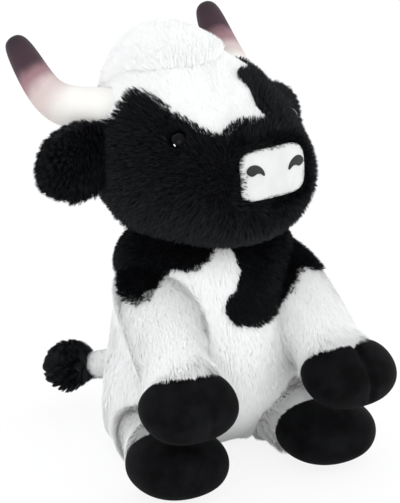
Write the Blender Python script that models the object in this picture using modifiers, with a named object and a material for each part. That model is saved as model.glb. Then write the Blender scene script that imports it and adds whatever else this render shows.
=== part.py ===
"""Plush cow, sitting upright with its legs forward, in metres.

+Z is up, the cow faces -Y and +X is its left. The origin is on the floor under the middle of the
cow. The outer surface of each soft form is the surface of its brushed pile.
"""

import math

import bmesh
import bpy
from mathutils import Matrix, Vector

# Clearances and fabrics
piece_gap = 0.0003
swing_gap = 0.0005
pile_wall = 0.007
short_pile_wall = 0.003
seat_cut = 0.0005
cut_overrun = 0.02

# Trunk: a pear on a flat seat, closed off by the neck's plane
trunk_width = 0.16
trunk_depth = 0.15
trunk_back = 0.004
neck_height = 0.178
neck_back = 0.004
trunk_height_shares = (0.0, 0.0, 0.1, 0.32, 0.6, 0.82, 0.97, 1.1)
trunk_width_shares = (0.42, 0.85, 1.02, 1.04, 0.96, 0.9, 0.94, 0.5)
trunk_front_shares = (0.1, 0.2, 0.55, 1.0, 0.95, 0.85, 0.78, 0.5)
trunk_back_shares = (0.42, 0.87, 1.03, 1.05, 0.95, 0.85, 0.78, 0.5)

# Pellet bag in the seat
bag_width = 0.096
bag_depth = 0.066
bag_height = 0.042
bag_back = 0.032

# Head: a rounded box that runs forward into the muzzle, turned a little to the cow's left
head_width = 0.15
head_height = 0.142
head_length = 0.169
head_ahead_share = 0.4793
head_turn = math.radians(10)
head_square_share = 0.06
head_along_shares = (0.0, 0.06, 0.26, 0.47, 0.66, 0.84, 0.975, 1.0)
head_width_shares = (0.35, 0.74, 1.03, 1.06, 0.96, 0.8, 0.63, 0.32)
head_top_shares = (0.7, 0.87, 1.0, 0.98, 0.87, 0.73, 0.64, 0.56)
head_bottom_shares = (0.3, 0.12, -0.03, -0.07, -0.03, 0.03, 0.11, 0.24)

# Crown: the long pile between and in front of the horns; its middle as shares of the head
crown_width = 0.099
crown_depth = 0.106
crown_height = 0.1
crown_place_shares = (-0.03, 0.2485, 0.7958)

# White forehead panel, as an outline seen from above: shares of the head's width and length
forehead_outline_shares = (
    (-0.42, 0.17),
    (-0.38, 0.1),
    (-0.352, 0.005),
    (-0.339, -0.064),
    (-0.329, -0.131),
    (-0.303, -0.18),
    (-0.274, -0.246),
    (-0.245, -0.305),
    (-0.222, -0.34),
    (-0.16, -0.335),
    (-0.083, -0.322),
    (-0.019, -0.328),
    (0.052, -0.338),
    (0.1, -0.335),
    (0.09, -0.277),
    (0.107, -0.229),
    (0.128, -0.18),
    (0.118, -0.1),
    (0.18, -0.062),
    (0.32, 0.0),
    (0.37, 0.2),
    (0.2, 0.4),
    (-0.2, 0.42),
    (-0.38, 0.3),
)
forehead_low_share = 0.507

# Black patches, as outlines seen from the front: shares of the trunk's width and the neck's height
right_patch_outline_shares = (
    (-0.1, 1.2),
    (-0.107, 1),
    (-0.156, 0.968),
    (-0.22, 0.935),
    (-0.26, 0.93),
    (-0.296, 0.938),
    (-0.354, 0.91),
    (-0.428, 0.874),
    (-0.514, 0.818),
    (-0.575, 0.772),
    (-0.66, 0.81),
    (-0.8, 0.86),
    (-0.8, 1.2),
)
left_patch_outline_shares = (
    (-0.03, 1.2),
    (-0.022, 0.982),
    (-0.006, 0.917),
    (-0.037, 0.837),
    (-0.1, 0.802),
    (-0.103, 0.751),
    (-0.07, 0.695),
    (0.042, 0.671),
    (0.121, 0.673),
    (0.174, 0.698),
    (0.232, 0.757),
    (0.269, 0.795),
    (0.325, 0.847),
    (0.374, 0.865),
    (0.43, 0.848),
    (0.5, 0.83),
    (0.62, 0.85),
    (0.8, 0.88),
    (0.8, 1.2),
)
patch_back = 0.05

# Nose patch with its two embroidered nostrils
nose_width = 0.062
nose_height = 0.038
nose_middle_share = 0.469
nose_corner = 0.017
nose_pad = 0.004
nose_tilt = math.radians(12)
nostril_spread = 0.037
nostril_rise = 0.003
nostril_length = 0.013
nostril_width = 0.008
nostril_corner_share = 0.45
nostril_thread = 0.0008
nostril_slope = math.radians(18)

# Safety eyes, each with a shank and a locking washer
eye_width = 0.015
eye_bulge = 0.0045
eye_sink = 0.0045
eye_height_share = 0.648
eye_across_share = 0.485
eye_ahead_share = 0.2902
shank_width = 0.003
shank_length = 0.013
washer_width = 0.012
washer_thickness = 0.0013
washer_hole_clearance = 0.0002
washer_gap = 0.0009

# Horns: stuffed, out from the head and then up and back; places as shares of the head from the neck
horn_root_width = 0.037
horn_place_shares = (
    (0.2667, 0.1775, 0.669),
    (0.4533, 0.2663, 0.6937),
    (0.58, 0.429, 0.7007),
    (0.608, 0.5355, 0.8099),
    (0.6247, 0.6568, 0.9754),
    (0.6353, 0.7012, 1.0282),
)
horn_width_shares = (1.0, 0.98, 0.88, 0.72, 0.6, 0.36)

# Ears: soft leaves that stand out sideways and droop at the tip
ear_root_side_share = 0.4867
ear_height = 0.052
ear_thickness = 0.016
ear_place_shares = (
    (0.4, 0.1775, 0.5423),
    (0.48, 0.1775, 0.5352),
    (0.58, 0.1775, 0.5141),
    (0.68, 0.1834, 0.4577),
    (0.7467, 0.1834, 0.3803),
    (0.7733, 0.1834, 0.3169),
)
ear_height_shares = (0.4, 0.52, 0.98, 1.16, 0.92, 0.46)
ear_thickness_shares = (0.6, 0.8, 1.1, 1.1, 0.9, 0.5)
left_ear_lean = math.radians(12)
left_ear_droop = math.radians(7)
ear_swing = (math.radians(-12), math.radians(12))

# Forelegs: from the shoulder forward and down; places as shares of the trunk and of the neck's height
foreleg_width = 0.06
foreleg_height = 0.064
shoulder_place_shares = (0.325, 0.0933, 0.7865)
foreleg_place_shares = (
    (0.2625, 0.1733, 0.8315),
    (0.2938, 0.0933, 0.8258),
    (0.3375, -0.1067, 0.7697),
    (0.3812, -0.3333, 0.6376),
    (0.4188, -0.52, 0.5056),
    (0.4313, -0.6, 0.4663),
    (0.4375, -0.6667, 0.4382),
)
foreleg_width_shares = (0.5, 0.86, 1.12, 1.06, 0.98, 0.84, 0.45)
foreleg_height_shares = (0.5, 0.86, 1.14, 1.08, 0.92, 0.72, 0.4)
foreleg_swing = (0.0, math.radians(25))

# Hind legs: short thighs along the floor; places as shares of the trunk and of the leg's own height
hindleg_width = 0.064
hindleg_height = 0.057
hip_place_shares = (0.3125, -0.1067, 0.5263)
hindleg_place_shares = (
    (0.25, 0.08, 0.5351),
    (0.29, 0.0, 0.5351),
    (0.358, -0.16, 0.5351),
    (0.392, -0.3133, 0.5),
    (0.4062, -0.44, 0.4561),
    (0.4062, -0.5, 0.4474),
)
hindleg_width_shares = (0.5, 0.92, 1.2, 1.1, 0.82, 0.5)
hindleg_height_shares = (0.5, 0.86, 1.07, 1.04, 0.82, 0.5)
hindleg_swing = (0.0, math.radians(14))

# Hooves: padded boots sewn over the end of each leg, as rings from the seam to the toe
hoof_width = 0.0735
fore_hoof_height = 0.042
hind_hoof_height = 0.046
fore_hoof_length = 0.05
hind_hoof_length = 0.063
hoof_along_shares = (0.5, 0.42, 0.2, -0.1, -0.34, -0.47, -0.5)
hoof_size_shares = (0.5, 0.88, 1.04, 1.04, 0.88, 0.6, 0.3)
hoof_square_share = 0.08
fore_hoof_place_shares = (0.4375, -0.663, 0.4522)
fore_hoof_tilt = math.radians(27)
hind_hoof_place_shares = (0.4125, -0.497, 0.447)
hind_hoof_tilt = 0.0

# Tail: a short stuffed tube with a long tuft, bent to the cow's right; places as a foreleg's
tail_width = 0.032
tail_place_shares = (
    (0.025, 0.4267, 0.2584),
    (-0.0375, 0.5133, 0.2472),
    (-0.1687, 0.64, 0.2247),
    (-0.3063, 0.7367, 0.2135),
    (-0.3375, 0.7533, 0.2135),
)
tail_width_shares = (0.7, 1.0, 0.9, 0.76, 0.4)
tail_root_shares = (0.0, 0.4933, 0.2472)
tail_swing = (math.radians(-15), math.radians(15))
tuft_width = 0.034
tuft_height = 0.038
tuft_place_shares = (
    (-0.25, 0.7033, 0.2135),
    (-0.3, 0.74, 0.2135),
    (-0.4, 0.7933, 0.2022),
    (-0.5, 0.8467, 0.2135),
    (-0.5562, 0.8733, 0.2303),
)
tuft_width_shares = (0.5, 0.86, 1.12, 0.9, 0.4)

# Fineness of cages, turned pieces and curves
body_sides = 10
limb_sides = 6
hoof_sides = 8
lump_sides = 14
lump_rings = 8
crown_sides = 20
turned_sides = 16
dome_steps = 5
curve_steps = 3
sweep_step = math.radians(5)
circle_pull_share = 0.5523
merge_share = 0.02
quarter_turn = math.radians(90)

white_pile = ("white_pile", (0.92, 0.92, 0.91), 0.95, 0.0)
black_pile = ("black_pile", (0.018, 0.018, 0.021), 0.92, 0.0)
black_short_pile = ("black_short_pile", (0.02, 0.02, 0.022), 0.8, 0.0)
cream_short_pile = ("cream_short_pile", (0.86, 0.8, 0.77), 0.85, 0.0)
nose_short_pile = ("nose_short_pile", (0.86, 0.86, 0.85), 0.85, 0.0)
grey_thread = ("grey_thread", (0.05, 0.05, 0.055), 0.6, 0.0)
black_plastic = ("black_plastic", (0.01, 0.01, 0.01), 0.12, 0.0)
washer_plastic = ("washer_plastic", (0.8, 0.8, 0.78), 0.4, 0.0)
fibre_fill = ("fibre_fill", (0.9, 0.9, 0.88), 1.0, 0.0)
bag_cloth = ("bag_cloth", (0.75, 0.73, 0.68), 0.9, 0.0)

neck_place = Vector((0, neck_back, neck_height))
head_matrix = (
    Matrix.Translation(neck_place) @ Matrix.Rotation(head_turn, 4, "Z") @ Matrix.Translation(-neck_place)
)


def clear_scene():
    for thing in list(bpy.data.objects):
        bpy.data.objects.remove(thing, do_unlink=True)


def new_collection(name):
    made = bpy.data.collections.new(name)
    bpy.context.scene.collection.children.link(made)
    return made


def material_of(finish):
    name, colour, roughness, metallic = finish
    found = bpy.data.materials.get(name)
    if found:
        return found
    made = bpy.data.materials.new(name)
    made.use_nodes = True
    shader = made.node_tree.nodes["Principled BSDF"]
    shader.inputs["Base Color"].default_value = (*colour, 1)
    shader.inputs["Roughness"].default_value = roughness
    shader.inputs["Metallic"].default_value = metallic
    made.diffuse_color = (*colour, 1)
    return made


def head_place(shares):
    """A place before the head's turn, from its shares of the head's size outwards from the neck."""
    across, back, up = shares
    return Vector((across * head_width, neck_back + back * head_length, neck_height + up * head_height))


def body_place(shares, tall=neck_height):
    """A place from its shares of the trunk's width and depth and of a height above the floor."""
    across, back, up = shares
    return Vector((across * trunk_width, back * trunk_depth, up * tall))


def mirrored(place, side):
    return Vector((place.x * side, place.y, place.z))


def spine_matrices(places, halves_across, halves_up, up_way):
    """One matrix a ring: a unit circle set across the spine and stretched to its two half sizes."""
    found = []
    for i, place in enumerate(places):
        run = places[min(i + 1, len(places) - 1)] - places[max(i - 1, 0)]
        run.normalize()
        across = up_way.cross(run).normalized()
        up = run.cross(across)
        turn = Matrix((across, up, run)).transposed().to_4x4()
        stretch = Matrix.Diagonal((halves_across[i], halves_up[i], 1, 1))
        found.append(Matrix.Translation(place) @ turn @ stretch)
    return found


def cage_from_rings(matrices, sides, square_share=0):
    """A closed cage: one circle extruded from ring to ring, with a flat face at each end."""
    cage = bmesh.new()
    # Subdivision draws a ring in by this much, so its cage starts that much larger.
    overscale = 3 / (2 + math.cos(math.tau / sides))
    made = bmesh.ops.create_circle(cage, cap_ends=True, segments=sides, radius=overscale)
    for vert in made["verts"]:
        vert.co *= 1 + square_share * abs(2 * vert.co.x * vert.co.y) / overscale**2
    bmesh.ops.transform(cage, matrix=matrices[0], verts=made["verts"])
    edges = list({edge for vert in made["verts"] for edge in vert.link_edges})
    for before, after in zip(matrices, matrices[1:]):
        made = bmesh.ops.extrude_edge_only(cage, edges=edges)["geom"]
        ring = {item for item in made if isinstance(item, bmesh.types.BMVert)}
        edges = [e for e in cage.edges if e.verts[0] in ring and e.verts[1] in ring]
        bmesh.ops.transform(cage, matrix=after @ before.inverted(), verts=list(ring))
    bmesh.ops.contextual_create(cage, geom=edges)
    bmesh.ops.recalc_face_normals(cage, faces=cage.faces)
    return cage


def object_of(cage, name, collection, finish=None, place=None):
    """An object made from a cage, which is freed; a cutter has no finish and stays out of the render."""
    mesh = bpy.data.meshes.new(name)
    cage.to_mesh(mesh)
    cage.free()
    mesh.shade_smooth()
    made = bpy.data.objects.new(name, mesh)
    collection.objects.link(made)
    if place is not None:
        made.matrix_world = place
    if finish:
        mesh.materials.append(material_of(finish))
    else:
        made.hide_render = True
        made.display_type = "WIRE"
    return made


def subdivided(piece, levels=1):
    soft = piece.modifiers.new("soft", "SUBSURF")
    soft.levels = levels
    soft.render_levels = levels
    # Every copy of a form then splits its quads the same way, so two offsets never cross.
    split = piece.modifiers.new("split", "TRIANGULATE")
    split.quad_method = "FIXED"


def grown(piece, distance):
    swell = piece.modifiers.new("swell", "DISPLACE")
    swell.mid_level = 0
    swell.strength = distance


def walled(piece, thickness):
    wall = piece.modifiers.new("wall", "SOLIDIFY")
    wall.thickness = thickness
    wall.offset = -1


def boolean(piece, other, operation="DIFFERENCE", solver="EXACT"):
    cut = piece.modifiers.new(operation.lower(), "BOOLEAN")
    cut.operation = operation
    cut.object = other
    cut.solver = solver


def offset_form(form, name, distance, collection, finish=None):
    """The same soft form, moved out or in by a distance along its normals."""
    made = form.copy()
    made.name = name
    collection.objects.link(made)
    if finish:
        made.data = form.data.copy()
        made.data.materials.clear()
        made.data.materials.append(material_of(finish))
        made.hide_render = False
        made.display_type = "TEXTURED"
    grown(made, distance)
    return made


def skin_of(form, name, wall, collection, finish):
    """The fabric of a soft form, as a shell whose outer side is the form."""
    made = form.copy()
    made.data = form.data.copy()
    made.name = name
    made.data.materials.clear()
    made.data.materials.append(material_of(finish))
    made.hide_render = False
    made.display_type = "TEXTURED"
    collection.objects.link(made)
    walled(made, wall)
    return made


def swept_cutter(name, cutter, pivot, axis, swing, collection):
    """A cutter joined with copies of itself turned back about a joint, so that what it cuts can swing."""
    low, high = swing
    steps = math.ceil((high - low) / sweep_step)
    made = cutter.copy()
    made.name = name
    collection.objects.link(made)
    about = Matrix.Translation(pivot)
    for i in range(steps + 1):
        angle = low + (high - low) * i / steps
        if abs(angle) < sweep_step / 2:
            continue
        turned = cutter.copy()
        turned.name = f"{name}_{i}"
        collection.objects.link(turned)
        back_swing = about @ Matrix.Rotation(-angle, 4, axis) @ about.inverted()
        turned.matrix_world = back_swing @ cutter.matrix_world
        # Nearly equal closed surfaces cross here, which the exact solver can leave open.
        boolean(made, turned, "UNION", "MANIFOLD")
    return made


def box_cutter(name, low, high, collection, place=None):
    cage = bmesh.new()
    middle = (low + high) / 2
    size = high - low
    stretch = Matrix.Diagonal((*size, 1))
    bmesh.ops.create_cube(cage, size=1, matrix=Matrix.Translation(middle) @ stretch)
    return object_of(cage, name, collection, place=place)


def rod_cutter(name, radius, start, end, collection, sides=turned_sides):
    """A cylinder between two places."""
    cage = bmesh.new()
    run = end - start
    lie = Vector((0, 0, 1)).rotation_difference(run).to_matrix().to_4x4()
    place = Matrix.Translation((start + end) / 2) @ lie
    bmesh.ops.create_cone(
        cage, cap_ends=True, segments=sides, radius1=radius, radius2=radius, depth=run.length, matrix=place
    )
    return object_of(cage, name, collection)


def turned_piece(name, profile, place, collection, finish, sides=turned_sides):
    """A turned piece: a profile of (radius, height) pairs spun about its own Z axis."""
    cage = bmesh.new()
    verts = [cage.verts.new((radius, 0, height)) for radius, height in profile]
    for first, second in zip(verts, verts[1:]):
        cage.edges.new((first, second))
    made = object_of(cage, name, collection, finish, place)
    spin = made.modifiers.new("spin", "SCREW")
    spin.steps = sides
    spin.render_steps = sides
    spin.use_merge_vertices = True
    spin.merge_threshold = seat_cut * merge_share
    return made


def pivot_of(name, place, pieces, collection, parent=None):
    """An empty on a joint's axis, which carries that joint's pieces."""
    made = bpy.data.objects.new(name, None)
    made.empty_display_size = seat_cut
    made.matrix_world = place
    collection.objects.link(made)
    bpy.context.view_layer.update()
    if parent:
        made.parent = parent
        made.matrix_parent_inverse = parent.matrix_world.inverted()
    for piece in pieces:
        world = piece.matrix_world.copy()
        piece.parent = made
        piece.matrix_parent_inverse = made.matrix_world.inverted()
        piece.matrix_world = world
    return made


def trunk_form(cutters):
    matrices = []
    for high, wide, ahead, behind in zip(
        trunk_height_shares, trunk_width_shares, trunk_front_shares, trunk_back_shares
    ):
        front = trunk_back - ahead * trunk_depth / 2
        back = trunk_back + behind * trunk_depth / 2
        place = Vector((0, (front + back) / 2, high * neck_height if high else -seat_cut))
        stretch = Matrix.Diagonal((wide * trunk_width / 2, (back - front) / 2, 1, 1))
        matrices.append(Matrix.Translation(place) @ stretch)
    form = object_of(cage_from_rings(matrices, body_sides), "trunk_form", cutters)
    subdivided(form)
    return form


def head_form(cutters):
    """The head before its turn: rings from the back of the head to the front of the muzzle."""
    matrices = []
    for along, wide, top, bottom in zip(
        head_along_shares, head_width_shares, head_top_shares, head_bottom_shares
    ):
        back = neck_back + (1 - head_ahead_share - along) * head_length
        middle = neck_height + (top + bottom) / 2 * head_height
        tall = (top - bottom) / 2 * head_height
        lie = Matrix.Rotation(quarter_turn, 4, "X")
        stretch = Matrix.Diagonal((wide * head_width / 2, tall, 1, 1))
        matrices.append(Matrix.Translation((0, back, middle)) @ lie @ stretch)
    cage = cage_from_rings(matrices, body_sides, head_square_share)
    form = object_of(cage, "head_form", cutters, place=head_matrix)
    subdivided(form)
    return form


def limb_form(name, places, width, height, width_shares, height_shares, side, cutters, place=None):
    halves_across = [share * width / 2 for share in width_shares]
    halves_up = [share * height / 2 for share in height_shares]
    spine = [mirrored(p, side) for p in places]
    matrices = spine_matrices(spine, halves_across, halves_up, Vector((0, 0, 1)))
    form = object_of(cage_from_rings(matrices, limb_sides), name, cutters, place=place)
    subdivided(form)
    return form


def hoof_of(name, middle, height, length, tilt, leg_clearance, side, collection):
    """A padded boot in rings along its length, hollowed for the end of its leg."""
    lie = Matrix.Translation(mirrored(middle, side)) @ Matrix.Rotation(tilt, 4, "X")
    matrices = []
    for along, size in zip(hoof_along_shares, hoof_size_shares):
        ahead = Matrix.Translation((0, along * length, 0)) @ Matrix.Rotation(quarter_turn, 4, "X")
        matrices.append(lie @ ahead @ Matrix.Diagonal((size * hoof_width / 2, size * height / 2, 1, 1)))
    cage = cage_from_rings(matrices, hoof_sides, hoof_square_share)
    hoof = object_of(cage, name, collection, black_short_pile)
    subdivided(hoof)
    boolean(hoof, leg_clearance)
    return hoof


def flat_curve(name, thick):
    """An empty flat curve that fills its outline and extrudes it both ways."""
    curve = bpy.data.curves.new(name, "CURVE")
    curve.dimensions = "2D"
    curve.fill_mode = "BOTH"
    curve.extrude = thick / 2
    curve.resolution_u = curve_steps
    return curve


def rounded_plate(name, width, height, corner, thick, place, collection):
    """A rounded rectangle, filled and extruded both ways from its plane, as a mesh."""
    curve = flat_curve(name, thick)
    spline = curve.splines.new("BEZIER")
    spline.use_cyclic_u = True
    pull = corner * circle_pull_share
    right, up = width / 2, height / 2
    points = []
    for x, y in ((right, up), (-right, up), (-right, -up), (right, -up)):
        way_x, way_y = math.copysign(1, x), math.copysign(1, y)
        level = Vector((x - way_x * corner, y, 0))
        upright = Vector((x, y - way_y * corner, 0))
        first, second = (upright, level) if x * y > 0 else (level, upright)
        points.append((first, (Vector((x, y, 0)) - first).normalized() * pull, False))
        points.append((second, (Vector((x, y, 0)) - second).normalized() * pull, True))
    spline.bezier_points.add(len(points) - 1)
    for point, (at, lean, ends) in zip(spline.bezier_points, points):
        point.co = at
        along = at + lean
        away = at
        point.handle_left_type = point.handle_right_type = "FREE"
        point.handle_left = along if ends else away
        point.handle_right = away if ends else along
    return mesh_of_curve(curve, name, place, collection)


def mesh_of_curve(curve, name, place, collection):
    guide = bpy.data.objects.new(name + "_curve", curve)
    collection.objects.link(guide)
    guide.matrix_world = place
    bpy.context.view_layer.update()
    graph = bpy.context.evaluated_depsgraph_get()
    mesh = bpy.data.meshes.new_from_object(guide.evaluated_get(graph))
    bpy.data.objects.remove(guide, do_unlink=True)
    cage = bmesh.new()
    cage.from_mesh(mesh)
    bpy.data.meshes.remove(mesh)
    bmesh.ops.remove_doubles(cage, verts=cage.verts, dist=seat_cut * merge_share)
    bmesh.ops.recalc_face_normals(cage, faces=cage.faces)
    return object_of(cage, name, collection, place=place)


def shown(piece, finish, collection, cutters):
    """Moves a piece that was made among the cutters to the parts."""
    cutters.objects.unlink(piece)
    collection.objects.link(piece)
    piece.hide_render = False
    piece.display_type = "TEXTURED"
    piece.data.materials.append(material_of(finish))
    return piece


def patch_prism(name, outline, grow, place, depth, cutters):
    """A smooth closed outline in its place's XY plane, extruded both ways, moved out or in by grow."""
    curve = flat_curve(name, depth)
    spline = curve.splines.new("BEZIER")
    spline.bezier_points.add(len(outline) - 1)
    spline.use_cyclic_u = True
    for point, (x, y) in zip(spline.bezier_points, outline):
        point.co = (x, y, 0)
        point.handle_left_type = point.handle_right_type = "AUTO"
    prism = mesh_of_curve(curve, name, place, cutters)
    grown(prism, grow)
    return prism


def panel_from(skin, name, outline, place, depth, finish, parts, cutters):
    """Splits a patch of other fabric from a skin along an outline, with a gap between the two."""
    inner = patch_prism(f"{name}_bounds", outline, -piece_gap / 2, place, depth, cutters)
    outer = patch_prism(f"{name}_opening", outline, piece_gap / 2, place, depth, cutters)
    panel = skin.copy()
    panel.data = skin.data.copy()
    panel.name = name
    panel.data.materials.clear()
    panel.data.materials.append(material_of(finish))
    parts.objects.link(panel)
    boolean(panel, inner, "INTERSECT")
    boolean(skin, outer)
    return panel


def body_patch(skin, name, side, parts, cutters):
    """The black shoulder patch of one side, split from the trunk's or a foreleg's skin."""
    shares = right_patch_outline_shares if side < 0 else left_patch_outline_shares
    outline = [(x * trunk_width, z * neck_height) for x, z in shares]
    lie = Matrix.Translation((0, patch_back - trunk_depth, 0)) @ Matrix.Rotation(quarter_turn, 4, "X")
    return panel_from(skin, name, outline, lie, trunk_depth * 2, black_pile, parts, cutters)


def nose_pieces(head, head_clearance, parts, cutters):
    """The padded patch laid over the muzzle's front, and the two nostrils stitched on it."""
    patch_bounds = offset_form(head, "patch_bounds", nose_pad, cutters)
    thread_seat = offset_form(head, "thread_seat", nose_pad + piece_gap, cutters)
    thread_bounds = offset_form(head, "thread_bounds", nose_pad + piece_gap + nostril_thread, cutters)
    front = neck_back - head_ahead_share * head_length
    middle_height = neck_height + nose_middle_share * head_height
    face = Matrix.Translation((0, front, middle_height))
    face @= Matrix.Rotation(quarter_turn - nose_tilt, 4, "X")
    patch = rounded_plate(
        "nose_patch", nose_width, nose_height, nose_corner, nose_width, head_matrix @ face, cutters
    )
    shown(patch, nose_short_pile, parts, cutters)
    boolean(patch, patch_bounds, "INTERSECT")
    boolean(patch, head_clearance)
    made = [patch]
    for label, side in (("right", -1), ("left", 1)):
        place = Matrix.Translation((side * nostril_spread / 2, nostril_rise, 0))
        place @= Matrix.Rotation(-side * nostril_slope, 4, "Z")
        nostril = rounded_plate(
            f"nostril_{label}",
            nostril_length,
            nostril_width,
            nostril_width * nostril_corner_share,
            nose_width,
            head_matrix @ face @ place,
            cutters,
        )
        shown(nostril, grey_thread, parts, cutters)
        boolean(nostril, thread_bounds, "INTERSECT")
        boolean(nostril, thread_seat)
        made.append(nostril)
    return made


def surface_place(form, middle, way):
    """Where a ray from a middle point leaves a form, as a matrix whose Z axis is the outward normal."""
    bpy.context.view_layer.update()
    graph = bpy.context.evaluated_depsgraph_get()
    solid = form.evaluated_get(graph)
    into = form.matrix_world.inverted()
    start = into @ middle
    hit, place, normal, _ = solid.ray_cast(start, (into.to_3x3() @ way).normalized())
    if not hit:
        raise ValueError(f"{form.name}: the ray misses the form")
    outward = (form.matrix_world.to_3x3() @ normal).normalized()
    turn = Vector((0, 0, 1)).rotation_difference(outward).to_matrix().to_4x4()
    return Matrix.Translation(form.matrix_world @ place) @ turn


def eye_pieces(label, side, head, head_skin, head_fill, parts, cutters):
    """A domed eye on a shank through the skin, and the washer that locks it from inside."""
    middle = head_matrix @ Vector((0, neck_back, neck_height + eye_height_share * head_height))
    across, ahead = eye_across_share * head_width, eye_ahead_share * head_length
    way = head_matrix.to_3x3() @ Vector((side * across, -ahead, 0))
    seat = surface_place(head, middle, way)
    radius, shank = eye_width / 2, shank_width / 2
    back = -eye_sink
    turns = [quarter_turn * i / dome_steps for i in range(dome_steps + 1)]
    rise = eye_sink + eye_bulge
    dome = [(radius * math.sin(turn), back + rise * math.cos(turn)) for turn in turns]
    tip = back - shank_length
    profile = [*dome, (shank, back), (shank, tip), (0, tip)]
    eye = turned_piece(f"eye_{label}", profile, seat, parts, black_plastic)
    hole = shank + washer_hole_clearance
    under = back - (pile_wall - eye_sink) - washer_gap
    low = under - washer_thickness
    ring = [(hole, under), (washer_width / 2, under), (washer_width / 2, low), (hole, low), (hole, under)]
    washer = turned_piece(f"eye_washer_{label}", ring, seat, parts, washer_plastic)

    def bore(name, size, high, deep):
        return rod_cutter(name, size, seat @ Vector((0, 0, deep)), seat @ Vector((0, 0, high)), cutters)

    pocket = bore(f"eye_pocket_{label}", radius + piece_gap, cut_overrun, back - piece_gap)
    shank_hole = bore(f"shank_hole_{label}", hole, 0, -cut_overrun)
    recess = bore(f"eye_recess_{label}", washer_width / 2 + piece_gap, cut_overrun, tip - piece_gap)
    washer_seat = bore(f"washer_seat_{label}", washer_width / 2 + piece_gap, under + piece_gap, -cut_overrun)
    boolean(head_skin, pocket)
    boolean(head_skin, washer_seat)
    boolean(head_skin, shank_hole)
    boolean(head_fill, recess)
    return [eye, washer]


def horn_pieces(label, side, head_clearance, crown, parts, cutters):
    """A horn's skin and stuffing, cut off where the horn meets the head."""
    shares = horn_width_shares
    places = [head_place(share) for share in horn_place_shares]
    args = (places, horn_root_width, horn_root_width, shares, shares, side, cutters, head_matrix)
    form = limb_form(f"horn_form_{label}", *args)
    skin = skin_of(form, f"horn_{label}", short_pile_wall, parts, cream_short_pile)
    fill = offset_form(form, f"horn_stuffing_{label}", -(short_pile_wall + piece_gap), parts, fibre_fill)
    clearance = offset_form(form, f"horn_clearance_{label}", piece_gap, cutters)
    boolean(skin, head_clearance)
    boolean(fill, head_clearance)
    boolean(crown, clearance)
    return [skin, fill]


def ear_pieces(label, side, head_clearance, neck, parts, cutters):
    """A soft ear that flaps about a front-to-back axis at its root; the left one lies further back."""
    _, root_back_share, root_up_share = ear_place_shares[0]
    root = mirrored(head_place((ear_root_side_share, root_back_share, root_up_share)), side)
    lie = Matrix.Identity(4)
    if side > 0:
        lie = Matrix.Rotation(left_ear_lean, 4, "Z") @ Matrix.Rotation(left_ear_droop, 4, "Y")
        lie = Matrix.Translation(root) @ lie @ Matrix.Translation(-root)
    form = limb_form(
        f"ear_{label}",
        [head_place(share) for share in ear_place_shares],
        ear_thickness,
        ear_height,
        ear_thickness_shares,
        ear_height_shares,
        side,
        cutters,
        head_matrix @ lie,
    )
    ear = shown(form, black_pile, parts, cutters)
    pivot = head_matrix @ root
    axis = head_matrix.to_3x3() @ Vector((0, side, 0))
    boolean(ear, swept_cutter(f"ear_sweep_{label}", head_clearance, pivot, axis, ear_swing, cutters))
    pivot_of(f"ear_pivot_{label}", Matrix.Translation(pivot), [ear], parts, neck)


def leg_pieces(label, side, which, trunk_clearance, floor, parts, cutters):
    """A leg's skin, stuffing and hoof; the leg is cut clear of the trunk over its whole swing."""
    if which == "fore":
        tall = neck_height
        place_shares, width, height = foreleg_place_shares, foreleg_width, foreleg_height
        width_shares, height_shares = foreleg_width_shares, foreleg_height_shares
        root_shares, axis, swing = shoulder_place_shares, Vector((-1, 0, 0)), foreleg_swing
        hoof_middle, tilt = body_place(fore_hoof_place_shares), fore_hoof_tilt
        hoof_height, hoof_length = fore_hoof_height, fore_hoof_length
    else:
        tall = hindleg_height
        place_shares, width, height = hindleg_place_shares, hindleg_width, hindleg_height
        width_shares, height_shares = hindleg_width_shares, hindleg_height_shares
        root_shares, axis, swing = hip_place_shares, Vector((0, 0, side)), hindleg_swing
        hoof_middle, tilt = body_place(hind_hoof_place_shares, hindleg_height), hind_hoof_tilt
        hoof_height, hoof_length = hind_hoof_height, hind_hoof_length
    places = [body_place(share, tall) for share in place_shares]
    root = body_place(root_shares, tall)
    pivot = mirrored(root, side)
    form = limb_form(
        f"{which}leg_form_{label}", places, width, height, width_shares, height_shares, side, cutters
    )
    clearance = offset_form(form, f"{which}leg_clearance_{label}", piece_gap, cutters)
    skin = skin_of(form, f"{which}leg_skin_{label}", pile_wall, parts, white_pile)
    fill = offset_form(form, f"{which}leg_stuffing_{label}", -(pile_wall + piece_gap), parts, fibre_fill)
    sweep = swept_cutter(f"{which}leg_sweep_{label}", trunk_clearance, pivot, axis, swing, cutters)
    boolean(skin, sweep)
    boolean(fill, sweep)
    name = f"{which}_hoof_{label}"
    hoof = hoof_of(name, hoof_middle, hoof_height, hoof_length, tilt, clearance, side, parts)
    if which == "hind":
        boolean(hoof, sweep)
        boolean(skin, floor)
        boolean(hoof, floor)
    pieces = [skin, fill, hoof]
    if which == "fore":
        pieces.append(body_patch(skin, f"foreleg_top_{label}", side, parts, cutters))
    root_name = "shoulder" if which == "fore" else "hip"
    pivot_of(f"{root_name}_pivot_{label}", Matrix.Translation(pivot), pieces, parts)


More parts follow.
